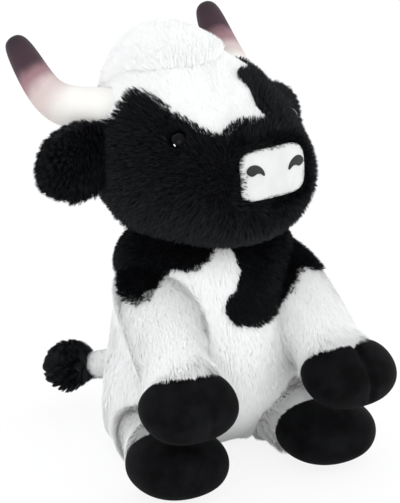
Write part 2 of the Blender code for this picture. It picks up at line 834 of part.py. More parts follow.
def tail_pieces(trunk_clearance, parts, cutters):
    """The tail's stuffed tube and its tuft, which swing sideways at the root."""
    shares = tail_width_shares
    places = [body_place(share) for share in tail_place_shares]
    form = limb_form("tail_form", places, tail_width, tail_width, shares, shares, 1, cutters)
    clearance = offset_form(form, "tail_clearance", piece_gap, cutters)
    skin = skin_of(form, "tail_skin", short_pile_wall, parts, white_pile)
    fill = offset_form(form, "tail_stuffing", -(short_pile_wall + piece_gap), parts, fibre_fill)
    shares = tuft_width_shares
    places = [body_place(share) for share in tuft_place_shares]
    tuft = limb_form("tail_tuft", places, tuft_width, tuft_height, shares, shares, 1, cutters)
    shown(tuft, black_pile, parts, cutters)
    boolean(tuft, clearance)
    pivot = body_place(tail_root_shares)
    sweep = swept_cutter("tail_sweep", trunk_clearance, pivot, Vector((0, 0, 1)), tail_swing, cutters)
    boolean(skin, sweep)
    boolean(fill, sweep)
    pivot_of("tail_pivot", Matrix.Translation(pivot), [skin, fill, tuft], parts)


def build():
    clear_scene()
    parts = new_collection("plush_cow")
    cutters = new_collection("cutters")
    floor = box_cutter(
        "floor_cutter",
        Vector((-trunk_width, -trunk_depth * 2, -cut_overrun)),
        Vector((trunk_width, trunk_depth * 2, 0)),
        cutters,
    )
    above_neck = box_cutter(
        "above_neck_cutter",
        Vector((-trunk_width, -trunk_depth, neck_height)),
        Vector((trunk_width, trunk_depth, neck_height + trunk_depth)),
        cutters,
    )
    below_neck = box_cutter(
        "below_neck_cutter",
        Vector((-trunk_width, -trunk_depth, 0)),
        Vector((trunk_width, trunk_depth, neck_height + piece_gap)),
        cutters,
        place=head_matrix,
    )

    # Trunk
    trunk = trunk_form(cutters)
    trunk_clearance = offset_form(trunk, "trunk_clearance", swing_gap, cutters)
    trunk_skin = skin_of(trunk, "trunk_skin", pile_wall, parts, white_pile)
    trunk_fill = offset_form(trunk, "trunk_stuffing", -(pile_wall + piece_gap), parts, fibre_fill)
    bag_inner = offset_form(trunk, "bag_bounds", -(pile_wall + piece_gap), cutters)
    for piece in (trunk_skin, trunk_fill):
        boolean(piece, above_neck)
    boolean(trunk_skin, floor)
    bag_matrix = Matrix.Translation((0, bag_back, pile_wall)) @ Matrix.Diagonal(
        (bag_width / 2, bag_depth / 2, bag_height, 1)
    )
    for name, target in (("pellet_bag", parts), ("bag_clearance", cutters)):
        cage = bmesh.new()
        bmesh.ops.create_uvsphere(
            cage, u_segments=lump_sides, v_segments=lump_rings, radius=1, matrix=bag_matrix
        )
        made = object_of(cage, name, target, bag_cloth if target is parts else None)
        if target is parts:
            boolean(made, bag_inner, "INTERSECT")
        else:
            grown(made, piece_gap)
            boolean(trunk_fill, made)

    body_patch(trunk_skin, "shoulder_patch_right", -1, parts, cutters)
    body_patch(trunk_skin, "chest_patch_left", 1, parts, cutters)

    # Head
    head = head_form(cutters)
    head_clearance = offset_form(head, "head_clearance", piece_gap, cutters)
    head_skin = skin_of(head, "head_skin", pile_wall, parts, black_pile)
    head_fill = offset_form(head, "head_stuffing", -(pile_wall + piece_gap), parts, fibre_fill)
    for piece in (head_skin, head_fill):
        boolean(piece, below_neck)
    head_pieces = [head_skin, head_fill]

    # Crown
    cage = bmesh.new()
    middle = head_place(crown_place_shares)
    size = (crown_width / 2, crown_depth / 2, crown_height / 2, 1)
    lie = Matrix.Translation(middle) @ Matrix.Diagonal(size)
    bmesh.ops.create_uvsphere(cage, u_segments=crown_sides, v_segments=crown_sides // 2, radius=1, matrix=lie)
    crown = object_of(cage, "crown_tuft", parts, white_pile, head_matrix)
    boolean(crown, head_clearance)
    head_pieces.append(crown)
    outline = [(x * head_width, y * head_length) for x, y in forehead_outline_shares]
    panel_middle = head_place((0, 0, forehead_low_share)) + Vector((0, 0, head_height / 2))
    lie = head_matrix @ Matrix.Translation(panel_middle)
    forehead = panel_from(
        head_skin, "forehead_panel", outline, lie, head_height, white_pile, parts, cutters
    )
    head_pieces.append(forehead)
    head_pieces += nose_pieces(head, head_clearance, parts, cutters)
    for label, side in (("right", -1), ("left", 1)):
        head_pieces += eye_pieces(label, side, head, head_skin, head_fill, parts, cutters)
        head_pieces += horn_pieces(label, side, head_clearance, crown, parts, cutters)

    neck = pivot_of("neck_pivot", head_matrix @ Matrix.Translation(neck_place), head_pieces, parts)
    for label, side in (("right", -1), ("left", 1)):
        ear_pieces(label, side, head_clearance, neck, parts, cutters)
        leg_pieces(label, side, "fore", trunk_clearance, floor, parts, cutters)
        leg_pieces(label, side, "hind", trunk_clearance, floor, parts, cutters)
    tail_pieces(trunk_clearance, parts, cutters)


build()
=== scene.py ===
"""Looks of the plush cow: soft forms, brushed pile, horns, hooves, nose and eyes, lights and camera.

Every length is in metres, +Z is up, the cow faces -Y and +X is its left.
"""

import logging
import math
from dataclasses import dataclass, field
from enum import Enum
from typing import Callable, Optional, Sequence

import bmesh
import bpy
import numpy as np
from mathutils import Matrix, Vector
from mathutils.bvhtree import BVHTree
from mathutils.kdtree import KDTree


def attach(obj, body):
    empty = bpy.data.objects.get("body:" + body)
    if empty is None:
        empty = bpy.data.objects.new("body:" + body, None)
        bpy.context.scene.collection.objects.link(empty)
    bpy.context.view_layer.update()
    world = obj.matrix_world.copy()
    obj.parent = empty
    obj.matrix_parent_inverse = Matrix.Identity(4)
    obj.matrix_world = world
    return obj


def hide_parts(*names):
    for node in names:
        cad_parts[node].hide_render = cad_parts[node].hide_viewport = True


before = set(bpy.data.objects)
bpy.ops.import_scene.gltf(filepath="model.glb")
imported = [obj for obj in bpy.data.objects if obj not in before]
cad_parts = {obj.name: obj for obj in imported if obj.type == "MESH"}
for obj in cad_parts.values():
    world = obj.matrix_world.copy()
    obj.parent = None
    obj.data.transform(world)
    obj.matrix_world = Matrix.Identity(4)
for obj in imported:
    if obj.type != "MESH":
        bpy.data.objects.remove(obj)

log = logging.getLogger("plush_cow")

Array = np.ndarray
Triple = tuple[float, float, float]

PHOTO_WIDTH = 400
PHOTO_HEIGHT = 503


class Side(Enum):
    """The cow's own sides, with the sign of their X."""

    RIGHT = -1
    LEFT = 1

    @property
    def label(self) -> str:
        """The word that the side's pieces carry in their names."""
        return self.name.lower()


class Blade(Enum):
    """How a strand of pile is cut: two triangles, or four for a longer curve."""

    SHORT = 4
    LONG = 6


# Finishes


@dataclass(frozen=True)
class StrandFinish:
    """A dyed pile fibre. Its shades are dealt out strand by strand, and pale ones let light through."""

    name: str
    shades: tuple[Triple, ...]
    roughness: float
    specular: float
    through: float = 0.0

    def materials(self) -> list[bpy.types.Material]:
        """One material a shade.

        Returns:
            The materials, in the order of the shades.
        """
        return [self._shade(f"{self.name}_{i + 1}", shade) for i, shade in enumerate(self.shades)]

    def _shade(self, name: str, shade: Triple) -> bpy.types.Material:
        """A strand material in one constant shade.

        Args:
            name: the material's name.
            shade: the fibre's colour, for light that it throws back and light that it lets through.

        Returns:
            The material.
        """
        made, shader = new_material(name)
        shader.inputs["Base Color"].default_value = (*shade, 1)
        shader.inputs["Roughness"].default_value = self.roughness
        shader.inputs["Specular IOR Level"].default_value = self.specular
        if self.through > 0:
            tree = made.node_tree
            glow = tree.nodes.new("ShaderNodeBsdfTranslucent")
            glow.inputs["Color"].default_value = (*shade, 1)
            both_ways = tree.nodes.new("ShaderNodeMixShader")
            both_ways.inputs["Fac"].default_value = self.through
            tree.links.new(shader.outputs["BSDF"], both_ways.inputs[1])
            tree.links.new(glow.outputs["BSDF"], both_ways.inputs[2])
            tree.links.new(both_ways.outputs["Shader"], tree.nodes["Material Output"].inputs["Surface"])
        return made


@dataclass(frozen=True)
class ClothFinish:
    """A knitted backing or short pile: two shades in soft blotches, and a fine nap as bump."""

    name: str
    dark: Triple
    light: Triple
    roughness: float = 0.9
    blotch_scale: float = 60.0
    nap_scale: float = 1600.0
    nap_depth: float = 0.0004
    sheen: float = 0.0
    sheen_roughness: float = 0.4
    specular: float = 0.3

    def material(self) -> bpy.types.Material:
        """Builds the material.

        Returns:
            The material, on Object coordinates.
        """
        made, shader = new_material(self.name)
        tree = made.node_tree
        coords = tree.nodes.new("ShaderNodeTexCoord")
        blotch = noise_node(tree, coords.outputs["Object"], self.blotch_scale, 3.0)
        shades = ((0.3, self.dark), (0.7, self.light))
        tree.links.new(ramp_node(tree, blotch.outputs["Fac"], shades), shader.inputs["Base Color"])
        nap_bump(tree, shader, coords.outputs["Object"], self.nap_scale, self.nap_depth)
        shader.inputs["Roughness"].default_value = self.roughness
        shader.inputs["Specular IOR Level"].default_value = self.specular
        shader.inputs["Sheen Weight"].default_value = self.sheen
        shader.inputs["Sheen Roughness"].default_value = self.sheen_roughness
        return made


@dataclass(frozen=True)
class HornFinish:
    """Short pile shaded from a cream root to a dark tip, read from the horn's "along" attribute."""

    name: str
    stops: tuple[tuple[float, Triple], ...]
    roughness: float = 0.85
    nap_scale: float = 1900.0
    nap_depth: float = 0.0003
    drift_scale: float = 70.0
    drift_share: float = 0.06
    specular: float = 0.2
    sheen: float = 0.08

    def material(self) -> bpy.types.Material:
        """Builds the material.

        Returns:
            The material, which shades along the horn and wanders a little across it.
        """
        made, shader = new_material(self.name)
        tree = made.node_tree
        coords = tree.nodes.new("ShaderNodeTexCoord")
        along = tree.nodes.new("ShaderNodeAttribute")
        along.attribute_name = "along"
        drift = noise_node(tree, coords.outputs["Object"], self.drift_scale, 2.0)
        centred = math_node(tree, "SUBTRACT", drift.outputs["Fac"], 0.5)
        scaled = math_node(tree, "MULTIPLY", centred.outputs[0], self.drift_share)
        place = math_node(tree, "ADD", along.outputs["Fac"], scaled.outputs[0])
        tree.links.new(ramp_node(tree, place.outputs[0], self.stops), shader.inputs["Base Color"])
        nap_bump(tree, shader, coords.outputs["Object"], self.nap_scale, self.nap_depth)
        shader.inputs["Roughness"].default_value = self.roughness
        shader.inputs["Specular IOR Level"].default_value = self.specular
        shader.inputs["Sheen Weight"].default_value = self.sheen
        return made


@dataclass(frozen=True)
class ThreadFinish:
    """Satin stitching: bands of thread across the shape, read from its "along" attribute, with painted
    shade in the grooves between stitches and a painted highlight on their crests.
    """

    name: str
    dark: Triple
    light: Triple
    bands: float
    depth: float = 0.0002
    roughness: float = 0.45

    def material(self) -> bpy.types.Material:
        """Builds the material.

        Returns:
            The material, striped thread by thread: painted shade in each groove, painted highlight on each
                crest.
        """
        made, shader = new_material(self.name)
        tree = made.node_tree
        along = tree.nodes.new("ShaderNodeAttribute")
        along.attribute_name = "along"
        turns = math_node(tree, "MULTIPLY", along.outputs["Fac"], self.bands * math.tau)
        wave = math_node(tree, "SINE", turns.outputs[0], 0.0)
        # Painted shade and highlight: the colour follows the bump's wave, dark in the grooves and light on
        # the crests.
        shades = ((0.0, self.dark), (1.0, self.light))
        tree.links.new(ramp_node(tree, wave.outputs[0], shades), shader.inputs["Base Color"])
        bump = tree.nodes.new("ShaderNodeBump")
        bump.inputs["Distance"].default_value = self.depth
        tree.links.new(wave.outputs[0], bump.inputs["Height"])
        tree.links.new(bump.outputs["Normal"], shader.inputs["Normal"])
        shader.inputs["Roughness"].default_value = self.roughness
        return made


@dataclass(frozen=True)
class MouldedFinish:
    """Moulded plastic: an even colour with fine flow marks in its gloss."""

    name: str
    colour: Triple
    roughness: float
    specular: float = 0.5
    flow_scale: float = 400.0
    flow_share: float = 0.05

    def material(self) -> bpy.types.Material:
        """Builds the material.

        Returns:
            The material.
        """
        made, shader = new_material(self.name)
        tree = made.node_tree
        shader.inputs["Base Color"].default_value = (*self.colour, 1)
        coords = tree.nodes.new("ShaderNodeTexCoord")
        flow = noise_node(tree, coords.outputs["Object"], self.flow_scale, 2.0)
        spread = math_node(tree, "MULTIPLY", flow.outputs["Fac"], self.flow_share)
        rough = math_node(tree, "ADD", spread.outputs[0], self.roughness)
        tree.links.new(rough.outputs[0], shader.inputs["Roughness"])
        shader.inputs["Specular IOR Level"].default_value = self.specular
        return made


def new_material(name: str) -> tuple[bpy.types.Material, bpy.types.ShaderNode]:
    """An empty node material.

    Args:
        name: the material's name.

    Returns:
        The material and its Principled shader.
    """
    made = bpy.data.materials.new(name)
    made.use_nodes = True
    return made, made.node_tree.nodes["Principled BSDF"]


def noise_node(
    tree: bpy.types.NodeTree, coords: bpy.types.NodeSocket, scale: float, detail: float
) -> bpy.types.Node:
    """A noise texture on the given coordinates.

    Args:
        tree: the node tree.
        coords: the coordinates.
        scale: how fine the noise is.
        detail: how many finer layers it has.

    Returns:
        The node.
    """
    made = tree.nodes.new("ShaderNodeTexNoise")
    made.inputs["Scale"].default_value = scale
    made.inputs["Detail"].default_value = detail
    tree.links.new(coords, made.inputs["Vector"])
    return made


def math_node(
    tree: bpy.types.NodeTree,
    operation: str,
    value: bpy.types.NodeSocket,
    other: float | bpy.types.NodeSocket,
) -> bpy.types.Node:
    """A Math node on a socket and a number or another socket.

    Args:
        tree: the node tree.
        operation: what the node works out.
        value: the first value.
        other: the second value.

    Returns:
        The node.
    """
    made = tree.nodes.new("ShaderNodeMath")
    made.operation = operation
    tree.links.new(value, made.inputs[0])
    if isinstance(other, (int, float)):
        made.inputs[1].default_value = other
    else:
        tree.links.new(other, made.inputs[1])
    return made


def ramp_node(
    tree: bpy.types.NodeTree, share: bpy.types.NodeSocket, stops: Sequence[tuple[float, Triple]]
) -> bpy.types.NodeSocket:
    """A colour ramp on a socket.

    Args:
        tree: the node tree.
        share: the value that runs along the ramp.
        stops: positions and colours.

    Returns:
        The ramp's colour socket.
    """
    made = tree.nodes.new("ShaderNodeValToRGB")
    made.color_ramp.interpolation = "EASE"
    points = made.color_ramp.elements
    while len(points) < len(stops):
        points.new(1.0)
    for point, (at, colour) in zip(points, stops):
        point.position = at
        point.color = (*colour, 1)
    tree.links.new(share, made.inputs["Fac"])
    return made.outputs["Color"]


def nap_bump(
    tree: bpy.types.NodeTree,
    shader: bpy.types.Node,
    coords: bpy.types.NodeSocket,
    scale: float,
    depth: float,
) -> None:
    """A fine nap as bump on a shader's normal.

    Args:
        tree: the node tree.
        shader: the shader whose surface has the nap.
        coords: the coordinates.
        scale: how fine the nap is.
        depth: how deep the nap is.
    """
    nap = noise_node(tree, coords, scale, 2.0)
    bump = tree.nodes.new("ShaderNodeBump")
    bump.inputs["Distance"].default_value = depth
    tree.links.new(nap.outputs["Fac"], bump.inputs["Height"])
    tree.links.new(bump.outputs["Normal"], shader.inputs["Normal"])


Finish = ClothFinish | HornFinish | ThreadFinish | MouldedFinish


def material_of(finish: Finish) -> bpy.types.Material:
    """The material of a finish, made once."""
    return bpy.data.materials.get(finish.name) or finish.material()


WHITE_STRANDS = StrandFinish(
    "white_pile_strand", ((0.97, 0.97, 0.965), (0.96, 0.96, 0.95), (0.98, 0.98, 0.98)), 0.9, 0.0, 0.25
)
BLACK_STRANDS = StrandFinish(
    "black_pile_strand",
    ((0.005, 0.0057, 0.0072), (0.0125, 0.014, 0.0175), (0.0025, 0.0027, 0.0034)),
    0.6,
    0.2,
)
WHITE_BACKING = ClothFinish("white_backing", (0.88, 0.875, 0.86), (0.94, 0.94, 0.93))
BLACK_BACKING = ClothFinish("black_backing", (0.002, 0.002, 0.0024), (0.005, 0.005, 0.006), specular=0.1)
HOOF_PILE = ClothFinish(
    "hoof_short_pile",
    (0.0006, 0.0006, 0.0008),
    (0.0036, 0.0038, 0.0048),
    roughness=0.75,
    blotch_scale=70.0,
    nap_scale=2200.0,
    nap_depth=0.0003,
    sheen=0.014,
    sheen_roughness=0.35,
    specular=0.06,
)
NOSE_PILE = ClothFinish(
    "nose_short_pile", (0.585, 0.585, 0.575), (0.635, 0.635, 0.625), nap_scale=1800.0, nap_depth=0.00012
)
HORN_PILE = HornFinish(
    "horn_short_pile",
    (
        (0.0, (0.82, 0.81, 0.785)),
        (0.3, (0.8, 0.78, 0.745)),
        (0.5, (0.59, 0.485, 0.465)),
        (0.61, (0.29, 0.165, 0.185)),
        (0.7, (0.05, 0.026, 0.036)),
        (1.0, (0.022, 0.0135, 0.019)),
    ),
)
SEAM_THREAD = HornFinish(
    "horn_seam_thread",
    (
        (0.0, (0.8, 0.78, 0.72)),
        (0.3, (0.7, 0.66, 0.62)),
        (0.48, (0.42, 0.32, 0.32)),
        (0.58, (0.16, 0.09, 0.11)),
        (0.68, (0.035, 0.02, 0.028)),
        (1.0, (0.02, 0.012, 0.018)),
    ),
)
# The nostril thread's darker shade is painted shade in the stitches' grooves, and its lighter one is a
# painted highlight on their crests.
NOSTRIL_THREAD = ThreadFinish(
    "nostril_thread", (0.008, 0.009, 0.0095), (0.02, 0.022, 0.023), 26.0, roughness=0.7
)
EYE_PLASTIC = MouldedFinish("eye_black_plastic", (0.0006, 0.0006, 0.0007), 0.03, 0.1)
WASHER_PLASTIC = MouldedFinish("washer_plastic", (0.8, 0.8, 0.78), 0.4)
FIBRE_FILL = ClothFinish(
    "fibre_fill", (0.75, 0.75, 0.74), (0.92, 0.92, 0.91), 1.0, 120.0, 700.0, 0.002
)
BAG_CLOTH = ClothFinish(
    "pellet_bag_cloth", (0.62, 0.6, 0.55), (0.75, 0.73, 0.68), 0.9, 200.0, 1500.0, 0.0005
)


# Soft forms

ORDER_STEP = 1000.0


@dataclass(frozen=True)
class Ring:
    """One station of a soft form: its middle and its half sizes across and up."""

    place: Triple
    across: float
    up: float


@dataclass
class SoftForm:
    """A closed form through a row of rings, as a finished mesh with an "along" attribute."""

    name: str
    mesh: bpy.types.Mesh
    solid: BVHTree = field(init=False)
    low: Array = field(init=False)
    high: Array = field(init=False)

    def __post_init__(self) -> None:
        """Prepares the form for inside tests."""
        self.solid = tree_of(self.mesh)
        points = coordinates(self.mesh)
        self.low, self.high = points.min(axis=0), points.max(axis=0)

    def holds(self, points: Array) -> Array:
        """Says which points lie inside the form.

        Args:
            points: the points, one a row.

        Returns:
            A mask, True for each point inside.
        """
        found = ((points > self.low) & (points < self.high)).all(axis=1)
        for i in np.flatnonzero(found).tolist():
            point = Vector(points[i])
            place, normal, _, _ = self.solid.find_nearest(point)
            found[i] = (point - place).dot(normal) < 0
        return found

    def near(self, points: Array, reach: float) -> Array:
        """How near points lie to the form's surface.

        Args:
            points: the points, one a row.
            reach: how far off a point still counts.

        Returns:
            A share for each point: 1 on the surface, 0 at the reach and beyond.
        """
        found = np.zeros(len(points))
        close = ((points > self.low - reach) & (points < self.high + reach)).all(axis=1)
        for i in np.flatnonzero(close).tolist():
            place, _, _, off = self.solid.find_nearest(Vector(points[i]), reach)
            if place is not None:
                found[i] = 1 - off / reach
        return found


def coordinates(mesh: bpy.types.Mesh, kind: str = "co") -> Array:
    """A mesh's vertex places, or its vertex normals.

    Args:
        mesh: the mesh.
        kind: "co" for places, "normal" for normals.

    Returns:
        One row a vertex.
    """
    found = np.empty(len(mesh.vertices) * 3)
    mesh.vertices.foreach_get(kind, found)
    return found.reshape(-1, 3)


def tree_of(mesh: bpy.types.Mesh) -> BVHTree:
    """A search tree of a mesh.

    Args:
        mesh: the mesh.

    Returns:
        The tree.
    """
    cage = bmesh.new()
    cage.from_mesh(mesh)
    made = BVHTree.FromBMesh(cage)
    cage.free()
    return made


def ring_matrices(rings: Sequence[Ring], up_way: Triple) -> list[Matrix]:
    """One matrix a ring, set across the line that the rings follow.

    Args:
        rings: the stations.
        up_way: the way that stays up as the line bends.

    Returns:
        Matrices that place a unit circle on each ring.
    """
    places = [Vector(ring.place) for ring in rings]
    found = []
    for i, ring in enumerate(rings):
        run = (places[min(i + 1, len(places) - 1)] - places[max(i - 1, 0)]).normalized()
        across = Vector(up_way).cross(run).normalized()
        up = run.cross(across)
        turn = Matrix((across, up, run)).transposed().to_4x4()
        found.append(Matrix.Translation(places[i]) @ turn @ Matrix.Diagonal((ring.across, ring.up, 1, 1)))
    return found


def place_key(place: Vector) -> float:
    """One number for a place, by which a cage's parts are put in order."""
    return place.x + ORDER_STEP * (place.y + ORDER_STEP * place.z)


def in_order(cage: bmesh.types.BMesh) -> None:
    """Puts a cage's parts in an order that follows from their places alone, so that each run is the same.

    Args:
        cage: the cage.
    """
    cage.verts.sort(key=lambda vert: place_key(vert.co))
    cage.edges.sort(key=lambda edge: place_key(edge.verts[0].co + edge.verts[1].co))
    cage.faces.sort(key=lambda face: place_key(face.calc_center_median()))


def ring_cage(matrices: Sequence[Matrix], sides: int, square_share: float = 0.0) -> bmesh.types.BMesh:
    """A closed cage: one circle extruded from ring to ring.

    Args:
        matrices: the place of each ring.
        sides: corners of each ring.
        square_share: how far a ring leans towards a rounded box.

    Returns:
        The cage, whose vertices carry their share of the way in the layer "along".
    """
    cage = bmesh.new()
    layer = cage.verts.layers.float.new("along")
    # Subdivision draws a ring in by this much, so its cage starts that much larger.
    overscale = 3 / (2 + math.cos(math.tau / sides))
    made = bmesh.ops.create_circle(cage, cap_ends=True, segments=sides, radius=overscale)["verts"]
    for vert in made:
        vert.co *= 1 + square_share * abs(2 * vert.co.x * vert.co.y) / overscale**2
    bmesh.ops.transform(cage, matrix=matrices[0], verts=made)
    edges = list(cage.edges)
    for i, (before, after) in enumerate(zip(matrices, matrices[1:])):
        new = bmesh.ops.extrude_edge_only(cage, edges=edges)["geom"]
        ring = {item for item in new if isinstance(item, bmesh.types.BMVert)}
        edges = [edge for edge in cage.edges if edge.verts[0] in ring and edge.verts[1] in ring]
        bmesh.ops.transform(cage, matrix=after @ before.inverted(), verts=list(ring))
        for vert in ring:
            vert[layer] = (i + 1) / (len(matrices) - 1)
    bmesh.ops.contextual_create(cage, geom=edges)
    bmesh.ops.recalc_face_normals(cage, faces=cage.faces)
    in_order(cage)
    return cage


def mesh_object(name: str, cage: bmesh.types.BMesh) -> bpy.types.Object:
    """An object in the scene from a cage, which is freed.

    Args:
        name: the object's name.
        cage: its shape.

    Returns:
        The object, shaded smooth.
    """
    mesh = bpy.data.meshes.new(name)
    cage.to_mesh(mesh)
    cage.free()
    mesh.shade_smooth()
    made = bpy.data.objects.new(name, mesh)
    bpy.context.scene.collection.objects.link(made)
    return made


def finished(piece: bpy.types.Object) -> bpy.types.Object:
    """Applies a piece's modifiers to its mesh.

    Args:
        piece: the piece.

    Returns:
        The same piece.
    """
    bpy.context.view_layer.update()
    graph = bpy.context.evaluated_depsgraph_get()
    mesh = bpy.data.meshes.new_from_object(piece.evaluated_get(graph))
    piece.modifiers.clear()
    piece.data = mesh
    mesh.name = piece.name
    return piece


def subdivided(piece: bpy.types.Object, levels: int) -> bpy.types.Object:
    """Subdivides a piece and applies it.

    Args:
        piece: the piece.
        levels: how often each face is cut in four.

    Returns:
        The same piece.
    """
    soft = piece.modifiers.new("soft", "SUBSURF")
    soft.levels = levels
    soft.render_levels = levels
    return finished(piece)


def ring_piece(
    name: str,
    matrices: Sequence[Matrix],
    sides: int,
    levels: int,
    square_share: float = 0.0,
    turn: Optional[Matrix] = None,
) -> bpy.types.Object:
    """A finished soft piece through rings.

    Args:
        name: the piece's name.
        matrices: the place of each ring.
        sides: corners of each ring.
        levels: subdivision levels.
        square_share: how far a ring leans towards a rounded box.
        turn: a last turn of the whole piece.

    Returns:
        The piece, at the origin with its place in its mesh.
    """
    cage = ring_cage(matrices, sides, square_share)
    if turn is not None:
        bmesh.ops.transform(cage, matrix=turn, verts=cage.verts)
    return subdivided(mesh_object(name, cage), levels)


def shifted(piece: bpy.types.Object, distance: float) -> bpy.types.Object:
    """Moves a piece's surface along its normals.

    Args:
        piece: the piece.
        distance: how far out, or in where it is negative.

    Returns:
        The same piece.
    """
    cage = bmesh.new()
    cage.from_mesh(piece.data)
    for vert in cage.verts:
        vert.co += vert.normal * distance
    cage.to_mesh(piece.data)
    cage.free()
    return piece


def flat_seat(piece: bpy.types.Object, floor: float) -> bpy.types.Object:
    """Presses what lies under a height flat onto it.

    Args:
        piece: the piece.
        floor: the height.

    Returns:
        The same piece.
    """
    for vert in piece.data.vertices:
        vert.co.z = max(vert.co.z, floor)
    return piece


def inside_outline(x: Array, y: Array, outline: Sequence[tuple[float, float]]) -> Array:
    """Says which points lie inside a closed outline, by counting crossings.

    Args:
        x: the points' places across.
        y: the points' places along.
        outline: the outline's corners.

    Returns:
        A mask, True for each point inside.
    """
    found = np.zeros(len(x), bool)
    for (x0, y0), (x1, y1) in zip(outline, [*outline[1:], outline[0]]):
        spans = (y0 > y) != (y1 > y)
        with np.errstate(divide="ignore", invalid="ignore"):
            cross = x < (x1 - x0) * (y - y0) / (y1 - y0) + x0
        found ^= spans & cross
    return found


def turned(points: Array, matrix: Matrix) -> Array:
    """Points carried by a matrix."""
    m = np.array(matrix)
    return points @ m[:3, :3].T + m[:3, 3]


def unit(rows: Array) -> Array:
    """Rows scaled to length one."""
    return rows / np.maximum(np.linalg.norm(rows, axis=1, keepdims=True), 1e-12)


def drift(points: Array, scale: float, seed: int) -> Array:
    """A smooth wandering vector at each point, made of a few sine waves.

    Args:
        points: the points, one a row.
        scale: how fast it wanders.
        seed: the source of chance.

    Returns:
        A vector for each point.
    """
    rng = np.random.default_rng(seed)
    found = np.zeros_like(points)
    for octave in range(DRIFT_OCTAVES):
        waves = rng.normal(size=(3, 3)) * scale * DRIFT_FINER**octave
        phase = rng.uniform(0, math.tau, 3)
        found += np.sin(points @ waves + phase) / DRIFT_WEAKER**octave
    return found / 2


# Pile


@dataclass(frozen=True)
class PileStyle:
    """How a stretch of pile is cut and brushed.

    A strand first leaves the skin by lift against lean, then droops; stray scatters its way, and tips
    draw together into clumps. Twist turns the blades about their own length.
    """

    length: float
    width: float
    lift: float
    lean: float
    droop: float
    stray: float
    clump_size: float
    clump_share: float
    twist: float = 0.35
    blade: Blade = Blade.SHORT
    length_spread: float = 0.25


Comb = Callable[[Array, Array], Array]
Keep = Callable[[Array], Array]
Measure = Callable[[Array], Array]

DRIFT_OCTAVES = 3
DRIFT_FINER = 1.7
DRIFT_WEAKER = 1.5
DRIFT_SCALE = 90.0
DRIFT_SHARE = 0.35
EDGE_SHARE = 0.04
EDGE_SCALE = 420.0
EDGE_DRIFT = 0.0011
CREASE_REACH = 0.01
CREASE_GROWTH = 0.45
WIDTH_SPREAD = 0.3


def blade_template(blade: Blade) -> tuple[Array, Array]:
    """One strand, flat: a circle of few corners, cut across into triangles.

    Args:
        blade: which strand.

    Returns:
        Its corners as (across, along) pairs, along running from 0 to 1, and its triangles.
    """
    cage = bmesh.new()
    turn = Matrix.Rotation(math.radians(90), 4, "Z")
    bmesh.ops.create_circle(cage, cap_ends=True, segments=blade.value, radius=1, matrix=turn)
    cage.verts.ensure_lookup_table()
    levels: dict[float, list[bmesh.types.BMVert]] = {}
    for vert in cage.verts:
        levels.setdefault(round(vert.co.y, 4), []).append(vert)
    for pair in levels.values():
        if len(pair) == 2:
            bmesh.ops.connect_verts(cage, verts=pair)
    bmesh.ops.triangulate(cage, faces=cage.faces)
    cage.verts.index_update()
    corners = np.array([(vert.co.x, (vert.co.y + 1) / 2) for vert in cage.verts])
    faces = np.array([[vert.index for vert in face.verts] for face in cage.faces])
    cage.free()
    return corners, faces


def scattered(mesh: bpy.types.Mesh, count: int, rng: np.random.Generator) -> tuple[Array, Array]:
    """Places strewn evenly over a mesh.

    Args:
        mesh: the surface.
        count: how many places.
        rng: the seeded source of chance.

    Returns:
        The places and the surface's normals there.
    """
    mesh.calc_loop_triangles()
    points, normals = coordinates(mesh), coordinates(mesh, "normal")
    corners = np.empty(len(mesh.loop_triangles) * 3, np.int64)
    mesh.loop_triangles.foreach_get("vertices", corners)
    corners = corners.reshape(-1, 3)
    a, b, c = (points[corners[:, i]] for i in range(3))
    areas = np.linalg.norm(np.cross(b - a, c - a), axis=1)
    steps = np.cumsum(areas) / areas.sum()
    chosen = np.minimum(np.searchsorted(steps, rng.random(count)), len(corners) - 1)
    u, v = rng.random(count), rng.random(count)
    over = u + v > 1
    u[over], v[over] = 1 - u[over], 1 - v[over]
    weights = np.stack((1 - u - v, u, v), axis=1)
    picked = corners[chosen]
    roots = np.einsum("ij,ijk->ik", weights, points[picked])
    ways = unit(np.einsum("ij,ijk->ik", weights, normals[picked]))
    return roots, ways


